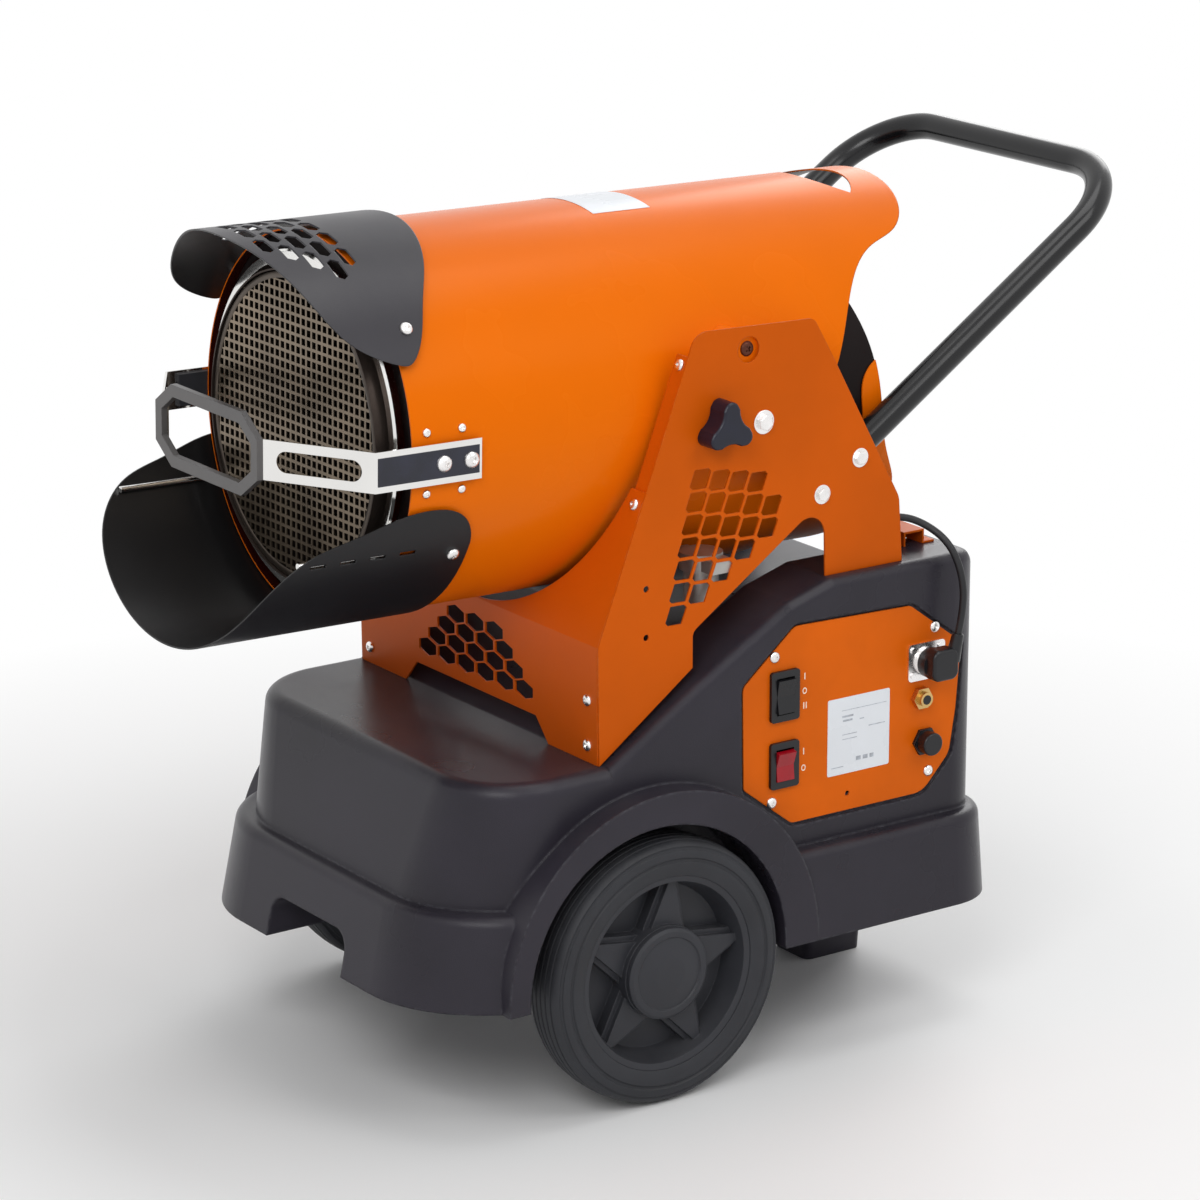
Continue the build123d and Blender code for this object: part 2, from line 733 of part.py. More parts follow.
with BuildPart() as fuse_holder:
    with BuildSketch(side_view.offset(panel_face)):
        with Locations(fuse_place):
            RegularPolygon(14, 6)
    extrude(amount=3)
    with BuildSketch(side_view.offset(panel_face)):
        with Locations(fuse_place):
            Circle(11)
    extrude(amount=15)
    fillet(fuse_holder.faces().sort_by(Axis.X)[-1].edges(), 2)
    with BuildSketch(side_view.offset(panel_face)):
        with Locations(fuse_place):
            Circle(7.8)
    extrude(amount=-24)
finished["fuse_holder"] = fuse_holder

with BuildPart() as brass_port:
    with BuildSketch(side_view.offset(panel_face)):
        with Locations(port_place):
            RegularPolygon(11, 6)
    extrude(amount=6)
    with BuildSketch(side_view.offset(panel_face)):
        with Locations(port_place):
            Circle(7)
    extrude(amount=11)
    with BuildSketch(side_view.offset(panel_face)):
        with Locations(port_place):
            Circle(5.8)
    extrude(amount=-16)
finished["brass_port"] = brass_port

# Barrel shell

shell_over = shell_radius + 3
shell_under = -shell_radius - 5
with BuildPart() as barrel_shell:
    with BuildSketch(barrel_section(262)):
        Circle(shell_radius)
        Circle(shell_radius - shell_sheet, mode=Mode.SUBTRACT)
    extrude(amount=262 + barrel_front)
    with BuildSketch(barrel_side.offset(-200)):
        with BuildLine():
            Spline((256, shell_over), (244, shell_over - 20), (215, shell_over - 40), (180, shell_over - 50),
                   (152, shell_over - 66), (135, shell_over - 85), (105, 36), (88, 0), (81, -40), (80, -70))
            Polyline((80, -70), (80, shell_under), (300, shell_under), (300, shell_over), (256, shell_over))
        make_face()
    extrude(amount=400, mode=Mode.SUBTRACT)
    # opening to reach in at the top
    with BuildSketch(Plane(origin=barrel_top.from_local_coords((0, 203, 0)), x_dir=(1, 0, 0),
                           z_dir=barrel_top.z_dir)):
        with BuildLine():
            ThreePointArc((-57, 0), (0, 22.5), (57, 0))
            ThreePointArc((57, 0), (0, -22.5), (-57, 0))
        make_face()
    extrude(amount=200, mode=Mode.SUBTRACT)
finished["barrel_shell"] = barrel_shell

label_sheet = 0.3
label_lift = 0.15
with BuildPart() as top_label:
    with BuildSketch(barrel_section(-16)):
        Circle(shell_radius + label_lift + label_sheet)
        Circle(shell_radius + label_lift, mode=Mode.SUBTRACT)
    extrude(amount=63)
    with BuildSketch(Plane(origin=pivot, x_dir=(1, 0, 0), z_dir=barrel_section(0).z_dir).offset(-50)):
        Rectangle(84, 400)
        with Locations((0, -200)):
            Rectangle(400, 400, mode=Mode.SUBTRACT)
    extrude(amount=300, mode=Mode.INTERSECT)
finished["top_label"] = top_label

# Pads that carry the barrel between the plates
pad_face = plate_face - 5.0
pad_sheet = 3.0


def make_trunnion(side):
    with BuildPart() as trunnion:
        place = barrel_side.offset(side * pad_face)
        with BuildSketch(place):
            Circle(20)
            with Locations((-stud_ahead, stud_above)):
                Circle(16)
            with Locations((-17, 68)):
                Circle(14)
            make_hull()
        extrude(amount=-side * 45)
        with BuildSketch(place.offset(-side * pad_sheet)):
            Circle(20 - pad_sheet)
            with Locations((-stud_ahead, stud_above)):
                Circle(16 - pad_sheet)
            with Locations((-17, 68)):
                Circle(14 - pad_sheet)
            make_hull()
        extrude(amount=-side * 45, mode=Mode.SUBTRACT)
        with BuildSketch(barrel_section(60)):
            Circle(shell_radius + 0.05)
        extrude(amount=250, mode=Mode.SUBTRACT)
        with BuildSketch(place):
            Circle(pivot_bolt_radius + running_gap)
            with Locations((-stud_ahead, stud_above)):
                Circle(stud_radius + running_gap)
        extrude(amount=-side * 10, mode=Mode.SUBTRACT)
    return trunnion


for name, side in (("right", 1), ("left", -1)):
    finished["trunnion_" + name] = make_trunnion(side)

knob_radius = 25.0
knob_height = 22.0


def make_lock_knob(side):
    # Three-lobed knob on its threaded stud
    origin = barrel_side.from_local_coords((-stud_ahead, stud_above, side * (plate_face + 0.3)))
    place = Plane(origin=origin, x_dir=(0, 1, 0), z_dir=(side, 0, 0))
    with BuildPart() as knob:
        with BuildSketch(place):
            with PolarLocations(knob_radius - 8, 3, start_angle=90):
                Circle(8)
            Circle(14)
            make_hull()
            with PolarLocations(knob_radius + 8.5, 3, start_angle=30):
                Circle(20, mode=Mode.SUBTRACT)
        extrude(amount=knob_height)
        fillet(knob.faces().sort_by(Axis(origin, (side, 0, 0)))[-1].edges(), 2.5)
        with BuildSketch(place):
            Circle(stud_radius)
        extrude(amount=-16)
    return knob


for name, side in (("right", 1), ("left", -1)):
    finished["lock_knob_" + name] = make_lock_knob(side)

# Emitter
shell_inner = shell_radius - shell_sheet
baffle_b = -345.0

with BuildPart() as front_baffle:
    with BuildSketch(barrel_section(baffle_b)):
        Circle(shell_inner - 0.2)
        Circle(chamber_radius + 0.2, mode=Mode.SUBTRACT)
    extrude(amount=-1.5)
    with BuildSketch(barrel_section(baffle_b)):
        Circle(shell_inner - 0.2)
        Circle(shell_inner - 1.7, mode=Mode.SUBTRACT)
    extrude(amount=-16)
finished["front_baffle"] = front_baffle

with BuildPart() as polished_ring:
    with BuildSketch(Plane(origin=pivot, x_dir=(0, nose_cos, -nose_sin), z_dir=(1, 0, 0))):
        with BuildLine():
            Polyline((baffle_b, ring_outer), (baffle_b - 14, ring_outer - 1), (baffle_b - 16, ring_outer - 3),
                     (baffle_b - 16, ring_outer - 11), (baffle_b - 13, ring_outer - 12.5),
                     (baffle_b - 4, chamber_radius + 0.3), (baffle_b - 4, chamber_radius + 1.8),
                     (baffle_b - 12, ring_outer - 11), (baffle_b - 14, ring_outer - 10),
                     (baffle_b - 14, ring_outer - 4), (baffle_b - 13, ring_outer - 2.5),
                     (baffle_b, ring_outer - 1.5), close=True)
        make_face()
    revolve(axis=barrel_axis)
finished["polished_ring"] = polished_ring

chamber_front = -371.0
chamber_rear = -70.0
burner_hole = 52.0
with BuildPart() as combustion_chamber:
    with BuildSketch(barrel_section(chamber_rear)):
        Circle(chamber_radius)
    extrude(amount=chamber_rear - chamber_front)
    with BuildSketch(barrel_section(chamber_rear - 1.5)):
        Circle(chamber_radius - 1.5)
    extrude(amount=400, mode=Mode.SUBTRACT)
    with BuildSketch(barrel_section(chamber_rear)):
        Circle(burner_hole)
    extrude(amount=10, mode=Mode.SUBTRACT)
finished["combustion_chamber"] = combustion_chamber

with BuildPart() as emitter_mesh:
    with BuildSketch(barrel_section(chamber_front + 3.5)):
        Circle(chamber_radius - 1.7)
    extrude(amount=1.5)
    with BuildSketch(barrel_section(chamber_front + 3.5)):
        Circle(chamber_radius - 1.7)
        Circle(chamber_radius - 3.2, mode=Mode.SUBTRACT)
    extrude(amount=-12)
finished["emitter_mesh"] = emitter_mesh

with BuildPart() as rear_baffle:
    with BuildSketch(barrel_section(-88)):
        Circle(shell_inner - 0.2)
        Circle(chamber_radius + 0.2, mode=Mode.SUBTRACT)
        with PolarLocations(chamber_radius + 16, 8):
            Circle(9, mode=Mode.SUBTRACT)
    extrude(amount=1.5)
finished["rear_baffle"] = rear_baffle

# Burner, pump, motor and fan, in line along the barrel axis
bulkhead_b = -25.0
motor_front = 5.0
motor_rear = 60.0
fan_front = 66.0
fan_depth = 20.0
guard_b = 100.0

with BuildPart() as burner_head:
    with BuildSketch(barrel_section(chamber_rear + 3)):
        Circle(70)
        Circle(45, mode=Mode.SUBTRACT)
    extrude(amount=3)
    with BuildSketch(barrel_section(chamber_rear)):
        Circle(50)
        Circle(48, mode=Mode.SUBTRACT)
    extrude(amount=60)
    with BuildSketch(barrel_section(chamber_rear - 20)):
        Circle(48)
        Circle(12, mode=Mode.SUBTRACT)
        with PolarLocations(30, 8):
            SlotOverall(26, 6, mode=Mode.SUBTRACT)
    extrude(amount=2)
    # duct from the bulkhead to the chamber
    with BuildSketch(barrel_section(bulkhead_b)):
        Circle(47)
        Circle(45, mode=Mode.SUBTRACT)
    extrude(amount=bulkhead_b - chamber_rear - 3)
finished["burner_head"] = burner_head

with BuildPart() as bulkhead:
    with BuildSketch(barrel_section(bulkhead_b + 2)):
        Circle(shell_inner - 0.2)
        Circle(45, mode=Mode.SUBTRACT)
    extrude(amount=2)
finished["bulkhead"] = bulkhead

with BuildPart() as fuel_pump:
    with BuildSketch(barrel_section(motor_front)):
        RectangleRounded(46, 46, 6)
    extrude(amount=25)
    with BuildSketch(barrel_section(motor_front - 25)):
        Circle(12)
    extrude(amount=5)
    # line and nozzle
    with BuildSketch(barrel_section(motor_front - 30)):
        Circle(6)
    extrude(amount=55)
    with BuildSketch(barrel_section(motor_front - 85)):
        RegularPolygon(9, 6)
    extrude(amount=14)
    with BuildSketch(barrel_section(motor_front - 99)):
        Circle(7)
    extrude(amount=5)
    chamfer(fuel_pump.faces().sort_by(Axis.Y)[0].edges(), 3)
finished["fuel_pump"] = fuel_pump

with BuildPart() as fan_motor:
    with BuildSketch(barrel_section(motor_rear)):
        Circle(motor_radius)
        with PolarLocations(motor_radius, 24):
            Rectangle(4, 3, mode=Mode.SUBTRACT)
    extrude(amount=motor_rear - motor_front)
    with BuildSketch(barrel_section(motor_rear + 1)):
        Circle(fan_shaft_radius + running_gap)
    extrude(amount=36, mode=Mode.SUBTRACT)
finished["fan_motor"] = fan_motor

with BuildPart() as motor_bracket:
    with BuildSketch(barrel_section(motor_front)):
        Circle(60)
        Circle(34, mode=Mode.SUBTRACT)
        with PolarLocations(60, 3, start_angle=30):
            Circle(20, mode=Mode.SUBTRACT)
    extrude(amount=3)
    for turn in (90, 210, 330):
        centre = (54 * math.cos(math.radians(turn)), 54 * math.sin(math.radians(turn)))
        with BuildSketch(barrel_section(motor_front - 3)):
            with Locations(centre):
                Circle(5)
        extrude(amount=motor_front - 3 - bulkhead_b - 2)
finished["motor_bracket"] = motor_bracket

with BuildPart() as fan_wheel:
    with BuildSketch(barrel_section(fan_front + fan_depth)):
        Circle(22)
    extrude(amount=fan_depth)
    with BuildSketch(barrel_section(fan_front)):
        Circle(fan_shaft_radius)
    extrude(amount=fan_front - motor_rear + 30)
    for blade in range(fan_blades):
        turn = 360 / fan_blades * blade
        root = barrel_radial(fan_front + fan_depth / 2, turn, 18)
        tip = barrel_radial(fan_front + fan_depth / 2, turn, fan_radius)
        with BuildSketch(root):
            Rectangle(2, 20, rotation=35)
        with BuildSketch(tip):
            Rectangle(2, 34, rotation=62)
        loft(ruled=True)
finished["fan_wheel"] = fan_wheel

housing_reach = housing_radius + 10.5
with BuildPart() as fan_housing:
    with BuildSketch(barrel_section(160)):
        Circle(housing_radius)
        Circle(housing_radius - housing_wall, mode=Mode.SUBTRACT)
    extrude(amount=160 - bulkhead_b - 2)
    with BuildSketch(barrel_side.offset(-200)):
        with BuildLine():
            ThreePointArc((60, housing_reach), (154, 15), (96, -housing_reach))
            Polyline((96, -housing_reach), (300, -housing_reach), (300, housing_reach), (60, housing_reach))
        make_face()
    extrude(amount=400, mode=Mode.SUBTRACT)
finished["fan_housing"] = fan_housing

guard_radius = housing_radius - housing_wall - 0.2
with BuildPart() as intake_guard:
    with BuildSketch(barrel_section(guard_b)):
        for ring in range(4):
            Circle(guard_radius - ring * 36)
            Circle(guard_radius - ring * 36 - 3, mode=Mode.SUBTRACT)
        Circle(24)
        with PolarLocations(guard_radius / 2 + 10, 6, start_angle=30):
            Rectangle(guard_radius - 21, 3)
    extrude(amount=-3)
finished["intake_guard"] = intake_guard

cover_under = -cover_radius - 8.5
with BuildPart() as rear_cover:
    with BuildSketch(barrel_section(230)):
        Circle(cover_radius)
        Circle(cover_radius - shell_sheet, mode=Mode.SUBTRACT)
    extrude(amount=170)
    with BuildSketch(barrel_side.offset(-200)):
        with BuildLine():
            Spline((151, 33), (134, 4), (137, -21), (132, -50), (104, -68), (72, -80))
            Polyline((72, -80), (72, cover_under), (152, cover_under))
            Spline((152, cover_under), (182, cover_under + 42), (196, cover_under + 80), (182, -72),
                   (167, -45), (157, -4), (151, 33))
        make_face()
    extrude(amount=400, mode=Mode.INTERSECT)
finished["rear_cover"] = rear_cover

with BuildPart() as ignition_transformer:
    with BuildSketch(barrel_section(bulkhead_b + 2 + 45)):
        with Locations((0, 41.5 - housing_radius)):
            RectangleRounded(76, 46, 5)
    extrude(amount=45)
finished["ignition_transformer"] = ignition_transformer

# Deflectors

hex_long = 27.0
hex_wide = 12.0
deflector_rows = [(-362, 6), (-378, 7), (-394, 6), (-410, 5), (-426, 4)]
upper_over = upper_deflector_radius + 4
lower_under = -lower_deflector_radius - 5
edge_angle = -27.0

with BuildPart() as upper_deflector:
    with BuildSketch(barrel_section(-262)):
        Circle(upper_deflector_radius)
        Circle(upper_deflector_radius - deflector_sheet, mode=Mode.SUBTRACT)
    extrude(amount=200)
    with BuildSketch(barrel_side.offset(-200)):
        with BuildLine():
            Spline((-268, upper_over), (-293, upper_over - 30), (-316, upper_over - 57),
                   (-340, upper_over - 95), (-350, upper_over - 102), (-360, upper_over - 101),
                   (-377, upper_over - 95), (-405, upper_over - 77), (-426, upper_over - 41),
                   (-456, upper_over))
            Line((-456, upper_over), (-268, upper_over))
        make_face()
    extrude(amount=400, mode=Mode.INTERSECT)
    for behind, count in deflector_rows:
        pitch = math.degrees((hex_long + 4.5) / upper_deflector_radius)
        for place in range(count):
            angle = 90 + (place - (count - 1) / 2) * pitch
            with BuildSketch(barrel_radial(behind, angle, upper_deflector_radius - 10)):
                reach = hex_long / 2
                rise = hex_wide / 2
                Polygon((4 - reach, -rise), (reach - 4, -rise), (reach, 0), (reach - 4, rise),
                        (4 - reach, rise), (-reach, 0))
            extrude(amount=20, mode=Mode.SUBTRACT)
finished["upper_deflector"] = upper_deflector

with BuildPart() as lower_deflector:
    with BuildSketch(barrel_section(-280)):
        Circle(lower_deflector_radius)
        Circle(lower_deflector_radius - deflector_sheet, mode=Mode.SUBTRACT)
    extrude(amount=240)
    with BuildSketch(barrel_side.offset(-200)):
        with BuildLine():
            Spline((-325, lower_under + 141), (-366, lower_under + 138), (-406, lower_under + 126),
                   (-451, lower_under + 111), (-481, lower_under + 81), (-493, lower_under + 53),
                   (-503, lower_under))
            Polyline((-503, lower_under), (-286, lower_under), (-286, lower_under + 104))
            Spline((-286, lower_under + 104), (-297, lower_under + 129), (-325, lower_under + 141))
        make_face()
    extrude(amount=400, mode=Mode.INTERSECT)
    for angle in (edge_angle, 180 - edge_angle):
        for behind in (-440, -410, -380, -350):
            with BuildSketch(barrel_radial(behind, angle, lower_deflector_radius - 10)):
                Rectangle(4, 16)
            extrude(amount=20, mode=Mode.SUBTRACT)
finished["lower_deflector"] = lower_deflector

rod_radius = 3.0
rod_reach = lower_deflector_radius - deflector_sheet - rod_radius - 0.3
with BuildPart() as deflector_rods:
    for angle in (edge_angle, 180 - edge_angle):
        turn = math.radians(angle)
        with BuildSketch(barrel_section(-359)):
            with Locations((rod_reach * math.cos(turn), rod_reach * math.sin(turn))):
                Circle(rod_radius)
        extrude(amount=99)
finished["deflector_rods"] = deflector_rods

# Guard in front of the emitter

guard_corner = -396.0
guard_tip = -452.0
guard_rear = -288.0
loop_in = loop_half - 10
bar_half = guard_half_height
guard_sheet = 2.0


def make_guard_bar(side):
    with BuildPart() as guard_bar:
        with BuildSketch(barrel_top.offset(-bar_half)):
            with BuildLine():
                out = guard_out
                Polyline((side * out, guard_rear), (side * out, guard_corner), (side * loop_half, guard_tip),
                         (side * loop_in, guard_tip), (side * loop_in, guard_tip + guard_sheet),
                         (side * (loop_half - 0.6), guard_tip + guard_sheet),
                         (side * (out - guard_sheet), guard_corner + 1.1),
                         (side * (out - guard_sheet), guard_rear), close=True)
            make_face()
        extrude(amount=2 * bar_half)
        # long slots through the strip and the slanting bar
        with BuildSketch(barrel_side.offset(side * (guard_out + 10))):
            with Locations((guard_corner + 32, 0)):
                SlotOverall(50, 20)
        extrude(amount=-side * 20, mode=Mode.SUBTRACT)
        slant = math.atan2(guard_corner - guard_tip, guard_out - loop_half)
        halfway = (side * (guard_out + loop_half) / 2, (guard_corner + guard_tip) / 2, 0)
        middle = barrel_top.from_local_coords(halfway)
        out_x = side * math.sin(slant)
        out_b = -math.cos(slant)
        facing = (out_x, out_b * nose_cos, -out_b * nose_sin)
        along = (math.cos(slant), side * math.sin(slant) * nose_cos, -side * math.sin(slant) * nose_sin)
        with BuildSketch(Plane(origin=middle, x_dir=along, z_dir=facing).offset(10)):
            SlotOverall(82, 19)
        extrude(amount=-20, mode=Mode.SUBTRACT)
    return guard_bar


for name, side in (("right", 1), ("left", -1)):
    finished["guard_bar_" + name] = make_guard_bar(side)

with BuildPart() as guard_loop:
    with BuildSketch(barrel_section(guard_tip)):
        Polygon((loop_half, 18), (loop_half - 28, 37.5), (28 - loop_half, 37.5), (-loop_half, 18),
                (-loop_half, -18), (28 - loop_half, -37.5), (loop_half - 28, -37.5), (loop_half, -18))
        offset(amount=-11, mode=Mode.SUBTRACT)
    extrude(amount=6)
finished["guard_loop"] = guard_loop

pad_front = guard_corner + 11
pad_rear = guard_rear - 3
with BuildPart() as guard_pads:
    for side in (-1, 1):
        with BuildSketch(barrel_side.offset(side * (guard_out - guard_sheet))):
            with Locations(((pad_front + pad_rear) / 2, 0)):
                Rectangle(pad_rear - pad_front, 2 * bar_half - 6)
        extrude(amount=-side * 12)
    with BuildSketch(barrel_section(0)):
        Circle(shell_radius + 0.05)
    extrude(amount=450, mode=Mode.SUBTRACT)
finished["guard_pads"] = guard_pads

# Screws of the barrel: on the pads, the deflectors and the guard

with BuildPart() as barrel_screws:
    for side in (-1, 1):
        origin = barrel_side.from_local_coords((-17, 68, side * pad_face))
        add(dome_bolt(Plane(origin=origin, x_dir=(0, 1, 0), z_dir=(side, 0, 0)), 7, 2.5))
    for behind, angle, reach in ((-343, 38, upper_deflector_radius), (-343, 142, upper_deflector_radius),
                                 (-301, -30, lower_deflector_radius), (-301, 210, lower_deflector_radius)):
        add(dome_bolt(barrel_radial(behind, angle, reach + 0.2), 6, 4))
        inner = reach - deflector_sheet - 0.1
        with BuildSketch(barrel_radial(behind, angle, inner)):
            Circle(5)
        extrude(amount=shell_radius - inner + 0.3)
    for side in (-1, 1):
        for behind in (guard_rear - 39, guard_rear - 11):
            origin = barrel_side.from_local_coords((behind, 0, side * guard_out))
            add(dome_bolt(Plane(origin=origin, x_dir=(0, 1, 0), z_dir=(side, 0, 0)), 7.5, 5))
        for behind in (-340, -304):
            for above in (-27, 27):
                reach = math.sqrt(shell_radius**2 - above**2)
                angle = math.degrees(math.atan2(above, side * reach))
                add(dome_bolt(barrel_radial(behind, angle, shell_radius + 0.1), 4, 2.5))
finished["barrel_screws"] = barrel_screws

# Parts under the barrel, seen through the side perforations

filter_across = plate_face - 35
with BuildPart() as fuel_filter:
    with BuildSketch(top_view.offset(440)):
        with Locations((filter_across, 88)):
            Circle(16)
    extrude(amount=34)
    chamfer(fuel_filter.faces().sort_by(Axis.Z)[0].edges(), 4)
    with BuildSketch(top_view.offset(474)):
        with Locations((filter_across, 88)):
            Circle(20)
    extrude(amount=16)
    with BuildSketch(top_view.offset(476)):
        with Locations((plate_face - sheet - 8, 88)):
            Rectangle(16, 24)
        with Locations((filter_across + 13, 88)):
            Rectangle(12, 16)
    extrude(amount=12)
    with BuildSketch(side_view.offset(filter_across - 15)):
        with Locations((88, 482)):
            RegularPolygon(8, 6)
    extrude(amount=-12)
finished["fuel_filter"] = fuel_filter

# Junction box with its gland, and the short lead to the plug

with BuildPart() as junction_box:
    with BuildSketch(side_view.offset(plate_face - sheet)):
        with Locations((244, 494)):
            RectangleRounded(46, 36, 4)
    extrude(amount=-23)
    with BuildSketch(front_view.offset(-266)):
        with Locations((lead_start[0], lead_start[2])):
            Circle(7)
    extrude(amount=266 - lead_start[1])
finished["junction_box"] = junction_box

with BuildPart() as thermostat_lead:
    with BuildLine() as lead_path:
        FilletPolyline(*places, radius=radii)
    with BuildSketch(lead_path.line ^ 0):
        Circle(lead_radius)
    sweep()
lead_length = sum(edge.length for edge in lead_path.edges())
print("lead volume", round(thermostat_lead.part.volume), "section times length",
      round(math.pi * lead_radius**2 * lead_length), "length", round(lead_length))
finished["thermostat_lead"] = thermostat_lead

for node, piece in finished.items():
    piece.part.label = node
    export_step(piece.part, f"parts/{node}.step")
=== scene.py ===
import math
import bpy
import bmesh
from mathutils import Matrix, Vector


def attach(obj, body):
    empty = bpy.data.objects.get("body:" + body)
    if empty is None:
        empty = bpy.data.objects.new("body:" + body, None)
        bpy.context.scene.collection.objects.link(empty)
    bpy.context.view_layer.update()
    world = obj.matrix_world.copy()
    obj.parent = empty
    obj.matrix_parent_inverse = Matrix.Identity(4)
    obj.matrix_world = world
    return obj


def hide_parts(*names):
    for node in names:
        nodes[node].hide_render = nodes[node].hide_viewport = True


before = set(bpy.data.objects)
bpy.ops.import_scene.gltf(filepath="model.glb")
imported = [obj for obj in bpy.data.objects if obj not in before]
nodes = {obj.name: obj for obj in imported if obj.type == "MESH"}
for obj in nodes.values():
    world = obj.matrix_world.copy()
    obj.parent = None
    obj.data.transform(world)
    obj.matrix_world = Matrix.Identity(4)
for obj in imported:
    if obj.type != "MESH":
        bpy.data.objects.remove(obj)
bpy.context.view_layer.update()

print("frame loaded:", len(nodes), "pieces")

# where things stand, in metres, as the solids have them
place = {"axleY": -0.1046, "axleZ": 0.125, "pivot": Vector((0, 0.0264, 0.6105)),
         "noseUp": math.radians(1.2)}
sideAxis, frontAxis, upAxis = Vector((1, 0, 0)), Vector((0, -1, 0)), Vector((0, 0, 1))
barrelBack = Vector((0, math.cos(place["noseUp"]), -math.sin(place["noseUp"])))
barrelUp = Vector((0, math.sin(place["noseUp"]), math.cos(place["noseUp"])))
sides = (("right", 1), ("left", -1))


def onBarrel(across, behind, up):
    # from the pivot, along the barrel's own axes
    return place["pivot"] + sideAxis * across + barrelBack * behind + barrelUp * up


def fromAxle(across, behind, up):
    # behind is counted from the axle, up from the floor
    return Vector((across, place["axleY"] + behind, up))


def looseObject(name, data):
    thing = bpy.data.objects.new(name, data)
    bpy.context.scene.collection.objects.link(thing)
    return thing


# camera, at the photograph's angle
cameraView = {"place": (3.30469, -2.30223, 1.59138), "azimuth": 55.29, "elevation": 16.47,
              "roll": -0.13, "fieldOfView": 15.28, "reach": 60}


def addCamera():
    turn, tilt, roll = (math.radians(cameraView[key]) for key in ("azimuth", "elevation", "roll"))
    right = Vector((math.cos(turn), math.sin(turn), 0))
    back = Vector((math.sin(turn) * math.cos(tilt), -math.cos(turn) * math.cos(tilt),
                   math.sin(tilt)))
    up = back.cross(right)
    across = right * math.cos(roll) + up * math.sin(roll)
    upward = up * math.cos(roll) - right * math.sin(roll)
    lens = bpy.data.cameras.new("photoView")
    lens.sensor_fit = "HORIZONTAL"
    lens.angle = math.radians(cameraView["fieldOfView"])
    lens.clip_end = cameraView["reach"]
    camera = looseObject("photoView", lens)
    camera.matrix_world = (Matrix.Translation(cameraView["place"])
                           @ Matrix((across, upward, back)).transposed().to_4x4())
    bpy.context.scene.camera = camera


addCamera()
print("camera set")


# nodes for materials and for repeated geometry

def setInput(tree, socket, value):
    # a socket is linked, anything else is set as a constant
    if isinstance(value, bpy.types.NodeSocket):
        tree.links.new(value, socket)
    else:
        socket.default_value = value


def addNode(tree, kind, settings=None, **inputs):
    # inputs go by name, with an underscore for each space
    node = tree.nodes.new(kind)
    for key, value in (settings or {}).items():
        setattr(node, key, value)
    for key, value in inputs.items():
        setInput(tree, node.inputs[key.replace("_", " ")], value)
    return node


def newTree(kind, name, inputs, outputs):
    # sockets are (label, what it holds), with a default value where there is one
    tree = bpy.data.node_groups.new(name, kind)
    for side, sockets in (("INPUT", inputs), ("OUTPUT", outputs)):
        for label, holds, *value in sockets:
            socket = tree.interface.new_socket(name=label, in_out=side,
                                               socket_type="NodeSocket" + holds)
            if value:
                socket.default_value = value[0]
    return tree, tree.nodes.new("NodeGroupInput"), tree.nodes.new("NodeGroupOutput")


def mathNode(tree, operation, first, second=0.0):
    node = addNode(tree, "ShaderNodeMath", {"operation": operation})
    for socket, value in zip(node.inputs, (first, second)):
        setInput(tree, socket, value)
    return node.outputs[0]


def vectorNode(tree, operation, first, second=None):
    node = addNode(tree, "ShaderNodeVectorMath", {"operation": operation})
    setInput(tree, node.inputs[0], first)
    if second is not None:
        setInput(tree, node.inputs[1], second)
    return node


def rangeNode(tree, value, low, high, newLow=0.0, newHigh=1.0):
    node = addNode(tree, "ShaderNodeMapRange", Value=value, From_Min=low, From_Max=high,
                   To_Min=newLow, To_Max=newHigh)
    return node.outputs["Result"]


def objectCoords(tree):
    return addNode(tree, "ShaderNodeTexCoord").outputs["Object"]


def faceNormal(tree, kind):
    return addNode(tree, "ShaderNodeNewGeometry").outputs[kind]


# shared surface effects
driftLook = {"detail": 4.0, "roughness": 0.55, "clouds": (0.3, 0.7)}
wearAndHighlightLook = {"edge": (0.97, 0.75), "chipScale": 160.0, "chips": (0.45, 0.62)}
dustLook = {"upward": (0.3, 1.0), "scale": 22.0, "patches": (0.35, 0.75),
            "colour": (0.5, 0.48, 0.45), "roughness": 0.3}


def buildGrain():
    # fine texture of a moulded, painted or rolled surface
    group, source, sink = newTree("ShaderNodeTree", "surfaceGrain", [
        ("Scale", "Float", 900.0), ("Stretch", "Vector", (1, 1, 1)), ("Pebble", "Float", 0.4)],
        [("Height", "Float"), ("Tone", "Float")])
    scale = source.outputs["Scale"]
    stretched = addNode(group, "ShaderNodeMapping", Vector=objectCoords(group),
                        Scale=source.outputs["Stretch"]).outputs[0]
    fine = addNode(group, "ShaderNodeTexNoise", Vector=stretched, Scale=scale, Detail=3.0,
                   Roughness=0.6)
    cells = addNode(group, "ShaderNodeTexVoronoi", Vector=stretched, Scale=scale)
    mixed = addNode(group, "ShaderNodeMix", {"data_type": "FLOAT"})
    for index, value in ((0, source.outputs["Pebble"]), (2, fine.outputs["Fac"]),
                         (3, cells.outputs["Distance"])):
        setInput(group, mixed.inputs[index], value)
    setInput(group, sink.inputs["Height"], mixed.outputs[0])
    setInput(group, sink.inputs["Tone"], fine.outputs["Fac"])
    return group


